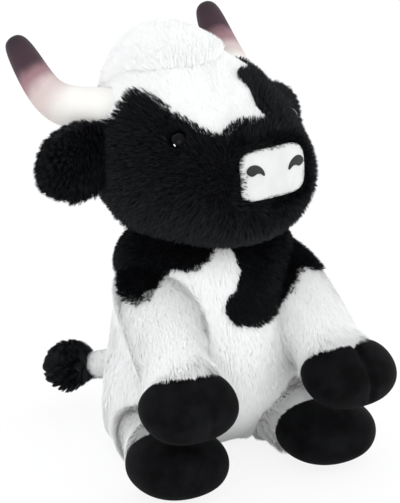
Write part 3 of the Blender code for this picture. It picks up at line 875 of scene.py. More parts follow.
def grow_pile(
    name: str,
    skin: bpy.types.Object,
    count: int,
    style: PileStyle,
    finish: StrandFinish,
    comb: Comb,
    region: Keep,
    clear: Keep,
    seed: int,
    longer: Optional[Measure] = None,
) -> bpy.types.Object:
    """Grows brushed pile on a skin.

    Args:
        name: the pile's name.
        skin: the piece that carries it.
        count: how many strands are strewn before any are left out.
        style: how the pile is cut and brushed.
        finish: the fibre.
        comb: gives the way that the pile is brushed at each root, from roots and normals.
        region: says which strands grow, from the places where they show.
        clear: says which roots are clear of other forms.
        seed: the source of chance.
        longer: how many times its length a strand has at each root, and how much more it stands, or None.

    Returns:
        The pile as one piece of short bent blades.
    """
    rng = np.random.default_rng(seed)
    roots, normals = scattered(skin.data, count, rng)
    flow = comb(roots, normals) + drift(roots, DRIFT_SCALE, seed) * DRIFT_SHARE
    flow += rng.normal(scale=style.stray, size=roots.shape)
    flow = unit(flow - normals * np.einsum("ij,ij->i", flow, normals)[:, None])
    length = style.length * (1 + rng.uniform(-style.length_spread, style.length_spread, (count, 1)))
    growth = np.ones((count, 1)) if longer is None else longer(roots)[:, None]
    length *= growth
    first = unit(normals * style.lift * growth**2 + flow * style.lean)
    second = unit(first + flow * style.droop)
    middle = roots + first * length / 2
    tip = middle + second * length / 2
    shown = middle + rng.normal(scale=style.length * EDGE_SHARE, size=roots.shape)
    shown += drift(roots, EDGE_SCALE, seed + 2) * EDGE_DRIFT
    kept = np.flatnonzero(region(shown))
    kept = kept[clear(roots[kept])]
    roots, normals, first, middle, tip = (rows[kept] for rows in (roots, normals, first, middle, tip))
    tip += clump_pull(tip, roots, style, seed)
    across = unit(np.cross(first, normals + rng.normal(scale=style.twist, size=roots.shape)))
    corners, faces = blade_template(style.blade)
    along = corners[:, 1][None, :, None]
    bend = 2 * middle - (roots + tip) / 2
    line = (1 - along) ** 2 * roots[:, None] + 2 * along * (1 - along) * bend[:, None]
    line += along**2 * tip[:, None]
    wide = style.width / 2 * (1 + rng.uniform(-WIDTH_SPREAD, WIDTH_SPREAD, (len(kept), 1, 1)))
    points = line + across[:, None] * corners[:, 0][None, :, None] * wide
    return strand_piece(name, points, faces, finish, rng)


def clump_pull(tip: Array, roots: Array, style: PileStyle, seed: int) -> Array:
    """How far each tip moves towards the middle of its clump.

    Args:
        tip: the tips.
        roots: the roots; each joins the clump whose seed is nearest.
        style: the size and strength of the clumps.
        seed: the source of chance for the seeds' places.

    Returns:
        A move for each tip.
    """
    cells = np.floor(roots / style.clump_size).astype(np.int64)
    number = len(np.unique(cells, axis=0))
    chosen = np.random.default_rng(seed + 1).choice(len(roots), number, replace=False)
    seeds = KDTree(number)
    for k, i in enumerate(chosen.tolist()):
        seeds.insert(roots[i], k)
    seeds.balance()
    index = np.fromiter((seeds.find(root)[1] for root in roots.tolist()), np.int64, len(roots))
    sums = np.zeros((number, 3))
    np.add.at(sums, index, tip)
    centres = sums / np.maximum(np.bincount(index, minlength=number), 1)[:, None]
    return (centres[index] - tip) * style.clump_share


def strand_piece(
    name: str,
    points: Array,
    faces: Array,
    finish: StrandFinish,
    rng: np.random.Generator,
) -> bpy.types.Object:
    """A piece of many copies of one blade.

    Args:
        name: the piece's name.
        points: strand, corner and coordinate.
        faces: the triangles of one blade.
        finish: the fibre, whose shades are dealt out strand by strand.
        rng: the seeded source of chance.

    Returns:
        The piece.
    """
    number, corners = points.shape[:2]
    triangles = (faces[None] + (np.arange(number) * corners)[:, None, None]).reshape(-1, 3)
    mesh = bpy.data.meshes.new(name)
    mesh.vertices.add(number * corners)
    mesh.vertices.foreach_set("co", points.reshape(-1).astype(np.float32))
    mesh.loops.add(triangles.size)
    mesh.loops.foreach_set("vertex_index", triangles.reshape(-1).astype(np.int32))
    mesh.polygons.add(len(triangles))
    mesh.polygons.foreach_set("loop_start", np.arange(0, triangles.size, 3, dtype=np.int32))
    for shade in finish.materials():
        mesh.materials.append(shade)
    shades = rng.integers(0, len(finish.shades), number)
    mesh.polygons.foreach_set("material_index", np.repeat(shades, len(faces)).astype(np.int32))
    mesh.update(calc_edges=True)
    mesh.shade_smooth()
    made = bpy.data.objects.new(name, mesh)
    bpy.context.scene.collection.objects.link(made)
    return made


def dressed(
    piece: bpy.types.Object, body: str, slot: str, *nodes: str, fill: Optional[float] = None
) -> bpy.types.Object:
    """Ties a finished piece to its body and hides the nodes that it stands for.

    Args:
        piece: the piece.
        body: the body that it rides on.
        slot: the record's material slot; not used.
        nodes: the nodes that it replaces.
        fill: how full a stuffed piece is, or None; not used.

    Returns:
        The piece.
    """
    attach(piece, body)
    if nodes:
        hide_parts(*nodes)
    log.info("%s: %d faces on %s", piece.name, len(piece.data.polygons), body)
    return piece


def two_toned(piece: bpy.types.Object, black: Keep) -> bpy.types.Object:
    """Gives a skin its white and black backing, face by face, as the pile over it shows.

    Args:
        piece: the skin.
        black: says which places are black.

    Returns:
        The piece.
    """
    mesh = piece.data
    mesh.materials.clear()
    mesh.materials.append(material_of(WHITE_BACKING))
    mesh.materials.append(material_of(BLACK_BACKING))
    middles, ways = np.empty(len(mesh.polygons) * 3), np.empty(len(mesh.polygons) * 3)
    mesh.polygons.foreach_get("center", middles)
    mesh.polygons.foreach_get("normal", ways)
    shades = black((middles + ways * PILE_DEPTH / 2).reshape(-1, 3)).astype(np.int32)
    mesh.polygons.foreach_set("material_index", shades)
    return piece


# The cow's own layout


@dataclass(frozen=True)
class Layout:
    """Places and outlines that several sub-assemblies share."""

    trunk_width: float = 0.16
    trunk_depth: float = 0.15
    trunk_back: float = 0.004
    neck_height: float = 0.178
    neck_back: float = 0.004
    patch_back: float = 0.05
    head_width: float = 0.15
    head_height: float = 0.142
    head_length: float = 0.169
    head_ahead: float = 0.081
    head_turn: float = math.radians(10)
    forehead_low: float = 0.274
    floor_gap: float = 0.0015
    right_patch: tuple[tuple[float, float], ...] = (
        (-0.1, 1.2), (-0.107, 1.0), (-0.156, 0.968), (-0.22, 0.935), (-0.26, 0.93), (-0.296, 0.938),
        (-0.354, 0.91), (-0.428, 0.874), (-0.514, 0.818), (-0.575, 0.772), (-0.66, 0.81), (-0.8, 0.86),
        (-0.8, 1.2),
    )
    left_patch: tuple[tuple[float, float], ...] = (
        (-0.03, 1.2), (-0.022, 0.982), (-0.006, 0.917), (-0.037, 0.837), (-0.1, 0.802), (-0.103, 0.751),
        (-0.07, 0.695), (0.042, 0.671), (0.121, 0.673), (0.174, 0.698), (0.232, 0.757), (0.269, 0.795),
        (0.325, 0.847), (0.374, 0.865), (0.43, 0.848), (0.5, 0.83), (0.62, 0.85), (0.8, 0.88), (0.8, 1.2),
    )
    forehead: tuple[tuple[float, float], ...] = (
        (-0.5, 0.14), (-0.38, 0.1), (-0.352, 0.005), (-0.339, -0.064), (-0.329, -0.131), (-0.303, -0.18),
        (-0.274, -0.246), (-0.245, -0.305), (-0.222, -0.34), (-0.16, -0.335), (-0.083, -0.322),
        (-0.019, -0.328), (0.052, -0.338), (0.1, -0.335), (0.09, -0.277), (0.107, -0.229), (0.128, -0.18),
        (0.118, -0.1),
        (0.18, -0.062), (0.32, 0.0), (0.37, 0.2), (0.2, 0.4), (-0.2, 0.42), (-0.5, 0.36),
    )

    @property
    def neck(self) -> Vector:
        """The place of the neck joint."""
        return Vector((0, self.neck_back, self.neck_height))

    @property
    def head_matrix(self) -> Matrix:
        """The head's turn about the neck."""
        about = Matrix.Translation(self.neck)
        return about @ Matrix.Rotation(self.head_turn, 4, "Z") @ about.inverted()

    def body_black(self, points: Array) -> Array:
        """Says which places of trunk and forelegs are black.

        Args:
            points: the places, one a row.

        Returns:
            A mask, True for each black place.
        """
        x, z = points[:, 0] / self.trunk_width, points[:, 2] / self.neck_height
        found = inside_outline(x, z, self.right_patch) | inside_outline(x, z, self.left_patch)
        return found & (points[:, 1] < self.patch_back)

    def body_white(self, points: Array) -> Array:
        """Says which places of trunk and legs carry white pile: not black, and off the floor."""
        return ~self.body_black(points) & (points[:, 2] > self.floor_gap)

    def head_white(self, points: Array) -> Array:
        """Says which places of the head are white.

        Args:
            points: the places, one a row.

        Returns:
            A mask, True for each white place.
        """
        local = turned(points, self.head_matrix.inverted())
        x = local[:, 0] / self.head_width
        y = (local[:, 1] - self.neck_back) / self.head_length
        return inside_outline(x, y, self.forehead) & (local[:, 2] > self.forehead_low)


LAYOUT = Layout()
PILE_DEPTH = 0.0042

WHITE_PILE = PileStyle(0.0066, 0.0009, 0.4, 0.9, 0.4, 0.16, 0.0032, 0.1, 0.12)
BLACK_PILE = PileStyle(0.0064, 0.0005, 1.0, 0.5, 0.25, 0.32, 0.0022, 0.5, length_spread=0.3)
FACE_PILE = PileStyle(0.0074, 0.0005, 1.0, 0.45, 0.25, 0.36, 0.0026, 0.6, length_spread=0.35)
BLAZE_PILE = PileStyle(0.0062, 0.0008, 0.42, 0.9, 0.4, 0.16, 0.003, 0.14, 0.14)
CROWN_PILE = PileStyle(0.0082, 0.0009, 0.42, 0.9, 0.4, 0.17, 0.0045, 0.1, 0.12)
EAR_PILE = PileStyle(0.012, 0.0005, 0.9, 0.8, 0.2, 0.25, 0.0038, 0.7, length_spread=0.35)
TUFT_PILE = PileStyle(
    0.0145, 0.0005, 0.9, 0.85, 0.2, 0.22, 0.005, 0.75, blade=Blade.LONG, length_spread=0.35
)
TAIL_PILE = PileStyle(0.0032, 0.0007, 0.45, 0.9, 0.4, 0.16, 0.002, 0.15, 0.14)


def down_comb(roots: Array, normals: Array) -> Array:
    """Brushes pile downwards."""
    return np.tile((0.0, 0.0, -1.0), (len(roots), 1))


def outside_of(*forms: SoftForm) -> Keep:
    """A rule that leaves out roots inside other forms.

    Args:
        *forms: the other forms.

    Returns:
        The rule.
    """

    def keep(points: Array) -> Array:
        """Leaves out the roots inside any of the forms.

        Args:
            points: the roots, one a row.

        Returns:
            A mask, True for each root outside all the forms.
        """
        found = np.ones(len(points), bool)
        for form in forms:
            found[found] = ~form.holds(points[found])
        return found

    return keep


def crease_growth(*forms: SoftForm) -> Measure:
    """How much longer pile stands in the creases that other forms make with its skin.

    Args:
        *forms: the other forms.

    Returns:
        A measure of places: 1 away from the forms, rising towards them.
    """

    def longer(points: Array) -> Array:
        """The length of pile near the nearest form, against that of pile elsewhere."""
        nearest = np.max([form.near(points, CREASE_REACH) for form in forms], axis=0)
        return 1 + CREASE_GROWTH * nearest

    return longer


@dataclass
class Trunk:
    """The pear-shaped body on its flat seat, drawn in between the thighs."""

    layout: Layout = LAYOUT
    heights: tuple[float, ...] = (0.0, 0.0, 0.1, 0.32, 0.6, 0.82, 0.97, 1.1)
    widths: tuple[float, ...] = (0.42, 0.85, 1.02, 1.04, 0.96, 0.9, 0.94, 0.5)
    fronts: tuple[float, ...] = (0.1, 0.2, 0.55, 1.0, 0.95, 0.85, 0.78, 0.5)
    backs: tuple[float, ...] = (0.42, 0.87, 1.03, 1.05, 0.95, 0.85, 0.78, 0.5)
    sides: int = 10
    seat: float = 0.0002
    white_strands: int = 148000
    black_strands: int = 300000

    def matrices(self) -> list[Matrix]:
        """The rings from the seat to the neck.

        Returns:
            One matrix a ring.
        """
        lay = self.layout
        made = []
        for high, wide, ahead, behind in zip(self.heights, self.widths, self.fronts, self.backs):
            front = lay.trunk_back - ahead * lay.trunk_depth / 2
            back = lay.trunk_back + behind * lay.trunk_depth / 2
            place = Matrix.Translation((0, (front + back) / 2, high * lay.neck_height))
            made.append(place @ Matrix.Diagonal((wide * lay.trunk_width / 2, (back - front) / 2, 1, 1)))
        return made

    def build(self) -> None:
        """Builds the skin."""
        skin = ring_piece("trunk_cover", self.matrices(), self.sides, 4)
        shifted(skin, -PILE_DEPTH)
        flat_seat(skin, self.seat)
        two_toned(skin, self.layout.body_black)
        self.skin = dressed(
            skin, "torso", "white_pile", "trunk_skin", "shoulder_patch_right", "chest_patch_left", fill=0.8
        )
        self.form = SoftForm(skin.name, skin.data)

    def grow(self, clear: Keep, longer: Measure) -> None:
        """Grows the white and the black pile.

        Args:
            clear: says which roots stay clear of the other forms.
            longer: how much longer the white pile stands at each root.
        """
        black = self.layout.body_black
        white = grow_pile(
            "trunk_white_pile", self.skin, self.white_strands, WHITE_PILE, WHITE_STRANDS, down_comb,
            self.layout.body_white, clear, 11, longer,
        )
        dressed(white, "torso", "white_pile")
        dark = grow_pile(
            "trunk_black_pile", self.skin, self.black_strands, BLACK_PILE, BLACK_STRANDS, down_comb,
            black, clear, 12,
        )
        dressed(dark, "torso", "black_pile")


@dataclass
class Head:
    """The head with its blaze, crown and short-pile nose, built before its turn and then turned."""

    layout: Layout = LAYOUT
    along: tuple[float, ...] = (0.0, 0.06, 0.26, 0.47, 0.66, 0.84, 0.975, 1.0)
    widths: tuple[float, ...] = (0.35, 0.74, 1.03, 1.06, 0.96, 0.8, 0.63, 0.32)
    tops: tuple[float, ...] = (0.7, 0.87, 1.0, 0.98, 0.87, 0.73, 0.64, 0.56)
    bottoms: tuple[float, ...] = (0.3, 0.12, -0.03, -0.07, -0.03, 0.03, 0.11, 0.24)
    square_share: float = 0.06
    sides: int = 10
    crown_size: Triple = (0.099, 0.106, 0.1)
    crown_right: float = 0.0045
    crown_middle: float = 0.291
    crown_back: float = 0.042
    crown_depth: float = 0.006
    crown_lean: float = 0.25
    chin_gap: float = 0.0006
    comb_rise: float = 0.7
    comb_drop: float = 0.25
    black_strands: int = 142000
    white_strands: int = 300000
    crown_strands: int = 115000

    def matrices(self) -> list[Matrix]:
        """The rings from the back of the head to the muzzle.

        Returns:
            One matrix a ring.
        """
        made = []
        lay = self.layout
        for along, wide, top, bottom in zip(self.along, self.widths, self.tops, self.bottoms):
            back = lay.neck_back + lay.head_length - lay.head_ahead - along * lay.head_length
            middle = lay.neck_height + (top + bottom) / 2 * lay.head_height
            tall = (top - bottom) / 2 * lay.head_height
            lie = Matrix.Rotation(math.radians(90), 4, "X")
            stretch = Matrix.Diagonal((wide * lay.head_width / 2, tall, 1, 1))
            made.append(Matrix.Translation((0, back, middle)) @ lie @ stretch)
        return made

    def build(self) -> None:
        """Builds the head's skin and the crown's."""
        lay = self.layout
        skin = ring_piece("head_cover", self.matrices(), self.sides, 4, self.square_share, lay.head_matrix)
        self.outer = SoftForm("head_outer", skin.data.copy())
        shifted(skin, -PILE_DEPTH)
        flat_seat(skin, lay.neck_height + self.chin_gap)
        two_toned(skin, lambda points: ~lay.head_white(points))
        self.skin = dressed(skin, "head", "black_pile", "head_skin", "forehead_panel", fill=0.85)
        cage = bmesh.new()
        bmesh.ops.create_icosphere(cage, subdivisions=4, radius=1)
        size = Matrix.Diagonal((*(side / 2 - self.crown_depth for side in self.crown_size), 1))
        place = Matrix.Translation((-self.crown_right, lay.neck_back + self.crown_back, self.crown_middle))
        bmesh.ops.transform(cage, matrix=lay.head_matrix @ place @ size, verts=cage.verts)
        crown = mesh_object("crown_cover", cage)
        crown.data.materials.append(material_of(WHITE_BACKING))
        self.crown = dressed(crown, "head", "white_pile", "crown_tuft", fill=0.7)
        self.crown_form = SoftForm(crown.name, crown.data)
        self.form = SoftForm(skin.name, skin.data)

    def comb(self, roots: Array, normals: Array) -> Array:
        """Brushes the face back from the nose, up over the brow and down at the jaw.

        Args:
            roots: the strands' roots, one a row.
            normals: the skin's normals there.

        Returns:
            The way of each strand.
        """
        lay = self.layout
        rotation = np.array(lay.head_matrix)[:3, :3]
        middle = lay.neck_height + 0.5 * lay.head_height
        rise = np.clip((roots[:, 2] - middle) / (0.5 * lay.head_height), -1, 1)
        up = self.comb_rise * rise - self.comb_drop
        way = np.stack((np.zeros(len(roots)), np.full(len(roots), 1.0), up), axis=1)
        return way @ rotation.T

    def crown_comb(self, roots: Array, normals: Array) -> Array:
        """Brushes the crown from its front up, over its top and down its back.

        Args:
            roots: the strands' roots, one a row.
            normals: the skin's normals there.

        Returns:
            The way of each strand.
        """
        rotation = np.array(self.layout.head_matrix)[:3, :3]
        local = normals @ rotation
        way = np.stack((np.zeros(len(local)), local[:, 2] + self.crown_lean, -local[:, 1]), axis=1)
        return way @ rotation.T

    def grow(self, clear: Keep, seen: Keep, longer: Measure, comb: Comb) -> None:
        """Grows face, blaze and crown pile.

        Args:
            clear: says which roots are clear of horns, ears, trunk and nose.
            seen: says which places the eyes leave open.
            longer: how much longer the pile stands at each root.
            comb: brushes the black pile.
        """
        white = self.layout.head_white
        crown_clear = outside_of(self.crown_form)
        head_clear = outside_of(self.form)
        face = grow_pile(
            "face_black_pile", self.skin, self.black_strands, FACE_PILE, BLACK_STRANDS, comb,
            lambda points: ~white(points) & seen(points), clear, 21, longer,
        )
        dressed(face, "head", "black_pile")
        blaze = grow_pile(
            "blaze_white_pile", self.skin, self.white_strands, BLAZE_PILE, WHITE_STRANDS, self.comb,
            white, both(clear, crown_clear), 22, crease_growth(self.crown_form),
        )
        dressed(blaze, "head", "white_pile")
        crown = grow_pile(
            "crown_white_pile", self.crown, self.crown_strands, CROWN_PILE, WHITE_STRANDS, self.crown_comb,
            everywhere, both(clear, head_clear), 23, crease_growth(self.form),
        )
        dressed(crown, "head", "white_pile")


def everywhere(points: Array) -> Array:
    """Says yes to every place."""
    return np.ones(len(points), bool)


def both(first: Keep, second: Keep) -> Keep:
    """A rule that asks the second only about what the first lets through.

    Args:
        first: the rule that is asked first.
        second: the rule that is asked next.

    Returns:
        The rule.
    """

    def keep(points: Array) -> Array:
        """Asks both rules.

        Args:
            points: the places, one a row.

        Returns:
            A mask, True for each place that both let through.
        """
        found = first(points)
        found[found] = second(points[found])
        return found

    return keep


@dataclass
class Nose:
    """The padded short-pile patch on the muzzle, with its two embroidered nostrils."""

    head: Head
    width: float = 0.062
    height: float = 0.0385
    middle: float = 0.2446
    pad: float = 0.0034
    rim: float = 0.0004
    tilt: float = math.radians(12)
    roundness: float = 4.6
    flatness: float = 5.0
    columns: int = 48
    rows: int = 32
    reach: float = 0.06
    nostril_spread: float = 0.0375
    nostril_rise: float = 0.0052
    nostril_puff: float = 0.001
    nostril_lift: float = 0.0004
    nostril_arc: tuple[Triple, ...] = (
        (0.0070, -0.0024, 0.0016), (0.0064, -0.0016, 0.0034), (0.0046, -0.0002, 0.0043),
        (0.0018, 0.0008, 0.0040), (-0.0012, 0.0006, 0.0031), (-0.0040, -0.0008, 0.0022),
        (-0.0060, -0.0030, 0.0014), (-0.0068, -0.0050, 0.0006),
    )
    fringe: float = 0.0042
    fringe_growth: float = 0.15
    fringe_pull: float = 2.2
    cover_share: float = 0.93

    def face(self) -> Matrix:
        """The patch's own plane.

        Returns:
            A matrix with X across the muzzle, Y up it and Z out of it.
        """
        lay = self.head.layout
        place = Matrix.Translation((0, lay.neck_back - lay.head_ahead, self.middle))
        return lay.head_matrix @ place @ Matrix.Rotation(math.radians(90) - self.tilt, 4, "X")

    def surface(self, x: float, y: float) -> tuple[Vector, Vector]:
        """Where a place of the patch's plane lies on the head.

        Args:
            x: the place across.
            y: the place up.

        Returns:
            The place on the head and the head's normal there.
        """
        face = self.face()
        way = face.to_3x3() @ Vector((0, 0, -1))
        start = face @ Vector((x, y, self.reach))
        place, normal, _, _ = self.head.outer.solid.ray_cast(start, way)
        if place is None:
            place, normal, _, _ = self.head.outer.solid.find_nearest(face @ Vector((x, y, 0)))
        return place, normal

    def swell(self, x: float, y: float) -> float:
        """How far the pad stands off the head at a place on the patch.

        Args:
            x: the place across.
            y: the place up.

        Returns:
            The height over the head.
        """
        p = self.roundness
        share = (abs(2 * x / self.width) ** p + abs(2 * y / self.height) ** p) ** (1 / p)
        fall = max(0.0, 1 - min(share, 1.0) ** self.flatness)
        return self.rim + (self.pad - self.rim) * math.sqrt(fall)

    def build(self) -> None:
        """Builds the patch and the nostrils."""
        cage = bmesh.new()
        bmesh.ops.create_grid(cage, x_segments=self.columns, y_segments=self.rows, size=1)
        for vert in cage.verts:
            u, v = vert.co.x, vert.co.y
            p = self.roundness
            length = (abs(u) ** p + abs(v) ** p) ** (1 / p)
            scale = max(abs(u), abs(v)) / length if length > 0 else 1.0
            x, y = u * scale * self.width / 2, v * scale * self.height / 2
            place, normal = self.surface(x, y)
            vert.co = place + normal * self.swell(x, y)
        bmesh.ops.recalc_face_normals(cage, faces=cage.faces)
        patch = mesh_object("nose_pad", cage)
        self._face_out(patch)
        wall = patch.modifiers.new("wall", "SOLIDIFY")
        wall.thickness = self.pad
        wall.offset = -1
        finished(patch)
        patch.data.shade_smooth()
        patch.data.materials.append(NOSE_PILE.material())
        dressed(patch, "head", "nose_short_pile", "nose_patch", fill=0.6)
        for side in Side:
            self._nostril(side)

    def _face_out(self, patch: bpy.types.Object) -> None:
        """Turns the patch's faces away from the head.

        Args:
            patch: the patch.
        """
        out = self.face().to_3x3() @ Vector((0, 0, 1))
        if patch.data.polygons[0].normal.dot(out) < 0:
            patch.data.flip_normals()

    def on_patch(self, x: float, y: float, lift: float) -> Vector:
        """A place above the patch's surface."""
        place, normal = self.surface(x, y)
        return place + normal * (self.swell(x, y) + lift)

    def _nostril(self, side: Side) -> None:
        """One nostril: a puffy comma of satin stitches.

        Args:
            side: the cow's side that it is on.
        """
        out = side.value
        middle = (out * self.nostril_spread / 2, self.nostril_rise)
        way = self.face().to_3x3() @ Vector((0, 0, 1))
        rings = []
        for x, y, half in self.nostril_arc:
            place = self.on_patch(middle[0] + out * x, middle[1] + y, self.nostril_lift)
            rings.append(Ring(tuple(place), half, self.nostril_puff))
        matrices = ring_matrices(rings, tuple(way))
        thread = ring_piece(f"nostril_stitching_{side.label}", matrices, 10, 2)
        thread.data.materials.append(material_of(NOSTRIL_THREAD))
        dressed(thread, "head", "grey_thread", f"nostril_{side.label}")

    def share_out(self, points: Array) -> Array:
        """How far places lie out from the patch's middle.

        Args:
            points: the places, one a row.

        Returns:
            A share for each place: 1 at the patch's edge, and endless behind the muzzle.
        """
        local = turned(points, self.face().inverted())
        share = np.abs(2 * local[:, 0] / self.width) ** self.roundness
        share += np.abs(2 * local[:, 1] / self.height) ** self.roundness
        return np.where(local[:, 2] > -self.reach, share ** (1 / self.roundness), np.inf)

    def clear(self, points: Array) -> Array:
        """True for each root that is not under the patch."""
        return self.share_out(points) > self.cover_share

    def near(self, points: Array) -> Array:
        """How near places lie to the patch's edge: 1 at it, falling off within the fringe."""
        out = (self.share_out(points) - 1) * self.height / 2
        return np.exp(-np.minimum(out / self.fringe, 30.0) ** 2)

    def longer(self, points: Array) -> Array:
        """Pile stands up a little longer round the patch."""
        return 1 + self.fringe_growth * self.near(points)

    def comb(self, roots: Array, normals: Array) -> Array:
        """Brushes the face's pile, and at the patch brushes it over the patch's edge."""
        inwards = unit(np.array(self.face().translation) - roots)
        return self.head.comb(roots, normals) + inwards * (self.fringe_pull * self.near(roots))[:, None]


@dataclass
class Eye:
    """A domed safety eye on one side of the face."""

    head: Head
    side: Side
    width: float = 0.0152
    bulge: float = 0.0032
    rim_share: float = 0.9
    fringe: float = 0.003
    fringe_growth: float = 0.3
    sink: float = 0.0045
    height_share: float = 0.648
    across_share: float = 0.485
    ahead_share: float = 0.2902
    steps: int = 48
    arc_steps: int = 14

    def build(self) -> None:
        """Spins the dome and seats it where its ray leaves the head."""
        lay = self.head.layout
        height = lay.neck_height + self.height_share * lay.head_height
        middle = lay.head_matrix @ Vector((0, lay.neck_back, height))
        across, ahead = self.across_share * lay.head_width, self.ahead_share * lay.head_length
        way = lay.head_matrix.to_3x3() @ Vector((self.side.value * across, -ahead, 0))
        place, normal, _, _ = self.head.outer.solid.ray_cast(middle, way.normalized())
        tilt = Vector((0, 0, 1)).rotation_difference(normal)
        seat = Matrix.Translation(place) @ tilt.to_matrix().to_4x4()
        cage = bmesh.new()
        radius = self.width / 2
        profile = [cage.verts.new((0, 0, -self.sink))]
        rise = self.bulge + self.sink
        for i in range(self.arc_steps + 1):
            angle = math.radians(90) * i / self.arc_steps
            out, up = radius * math.cos(angle), rise * math.sin(angle) - self.sink
            profile.append(cage.verts.new((out, 0, up)))
        edges = [cage.edges.new(pair) for pair in zip(profile, profile[1:])]
        bmesh.ops.spin(
            cage,
            geom=[*profile, *edges],
            axis=(0, 0, 1),
            cent=(0, 0, 0),
            steps=self.steps,
            angle=math.tau,
            use_merge=True,
        )
        bmesh.ops.remove_doubles(cage, verts=cage.verts, dist=1e-6)
        bmesh.ops.recalc_face_normals(cage, faces=cage.faces)
        bmesh.ops.transform(cage, matrix=seat, verts=cage.verts)
        in_order(cage)
        eye = mesh_object(f"eye_dome_{self.side.label}", cage)
        eye.data.materials.append(material_of(EYE_PLASTIC))
        self.dome = dressed(eye, "head", "black_plastic", f"eye_{self.side.label}")
        self.seat = seat

    def off_axis(self, points: Array) -> Array:
        """How far places lie from the dome's axis."""
        local = turned(points, self.seat.inverted())
        return np.hypot(local[:, 0], local[:, 1])

    def clear(self, points: Array) -> Array:
        """True for each place that is not over the eye."""
        return self.off_axis(points) > self.rim_share * self.width / 2

    def longer(self, points: Array) -> Array:
        """Pile stands up a little longer round the dome."""
        off = (self.off_axis(points) - self.width / 2) / self.fringe
        return 1 + self.fringe_growth * np.exp(-(off**2))


@dataclass
class Horn:
    """A stuffed short-pile horn with a seam along its outer edge."""

    head: Head
    side: Side
    width: float = 0.037
    places: tuple[Triple, ...] = (
        (0.04, 0.034, 0.273), (0.068, 0.049, 0.2765), (0.087, 0.0765, 0.2775),
        (0.0912, 0.0945, 0.293), (0.0937, 0.115, 0.3165), (0.0953, 0.1225, 0.324),
    )
    shares: tuple[float, ...] = (1.0, 0.98, 0.88, 0.72, 0.6, 0.36)
    sides: int = 6
    seam_radius: float = 0.00045
    stitch_shares: Triple = (1.0, 0.7, 2.0)
    stitches: int = 90
    stitches_left_out: int = 6
    seam_lean: Triple = (0.35, -0.15, -1.0)

    def build(self) -> None:
        """Builds the horn and its seam."""
        out = self.side.value
        rings = [
            Ring((x * out, y, z), share * self.width / 2, share * self.width / 2)
            for (x, y, z), share in zip(self.places, self.shares)
        ]
        turn = self.head.layout.head_matrix
        matrices = ring_matrices(rings, (0, 0, 1))
        horn = ring_piece(f"horn_cover_{self.side.label}", matrices, self.sides, 3, turn=turn)
        horn.data.materials.append(material_of(HORN_PILE))
        dressed(horn, "head", "cream_short_pile", f"horn_{self.side.label}", fill=0.9)
        self.form = SoftForm(horn.name, horn.data)
        self._seam()

    def _seam(self) -> None:
        """A thin ridge of stitches along the horn's lower outer edge."""
        lay = self.head.layout
        places = [Vector((x * self.side.value, y, z)) for x, y, z in self.places]
        line = smooth_line(places, self.stitches)
        out, ahead, up = self.seam_lean
        lean = Vector((self.side.value * out, ahead, up))
        points = []
        for i in range(self.stitches_left_out, len(line) - self.stitches_left_out):
            run = (line[i + 1] - line[i - 1]).normalized()
            way = (lean - run * lean.dot(run)).normalized()
            start = lay.head_matrix @ line[i]
            heading = lay.head_matrix.to_3x3() @ way
            place, normal, _, _ = self.form.solid.ray_cast(start + heading * self.width * 2, -heading)
            if place is not None:
                points.append((place, normal, i / (len(line) - 1)))
        cage = bmesh.new()
        layer = cage.verts.layers.float.new("along")
        for i in range(1, len(points) - 1):
            place, normal, share = points[i]
            run = (points[i + 1][0] - points[i - 1][0]).normalized()
            side = run.cross(normal).normalized()
            turn = Matrix((side, normal, run)).transposed().to_4x4()
            size = Matrix.Diagonal((*(self.seam_radius * part for part in self.stitch_shares), 1))
            made = bmesh.ops.create_icosphere(
                cage, subdivisions=1, radius=1, matrix=Matrix.Translation(place) @ turn @ size
            )["verts"]
            for vert in made:
                vert[layer] = share
        seam = mesh_object(f"horn_seam_{self.side.label}", cage)
        seam.data.materials.append(material_of(SEAM_THREAD))
        dressed(seam, "head", "cream_short_pile")


def smooth_line(points: Sequence[Vector], count: int) -> list[Vector]:
    """Evenly counted places on a smooth line through the points.

    Args:
        points: what the line passes through.
        count: how many places.

    Returns:
        The places.
    """
    found = []
    last = len(points) - 1
    for i in range(count):
        at = i * last / (count - 1)
        k = min(int(at), last - 1)
        t = at - k
        a, b = points[max(k - 1, 0)], points[k]
        c, d = points[k + 1], points[min(k + 2, last)]
        bend, twist = 2 * a - 5 * b + 4 * c - d, 3 * b - a - 3 * c + d
        found.append(0.5 * ((2 * b) + (c - a) * t + bend * t**2 + twist * t**3))
    return found


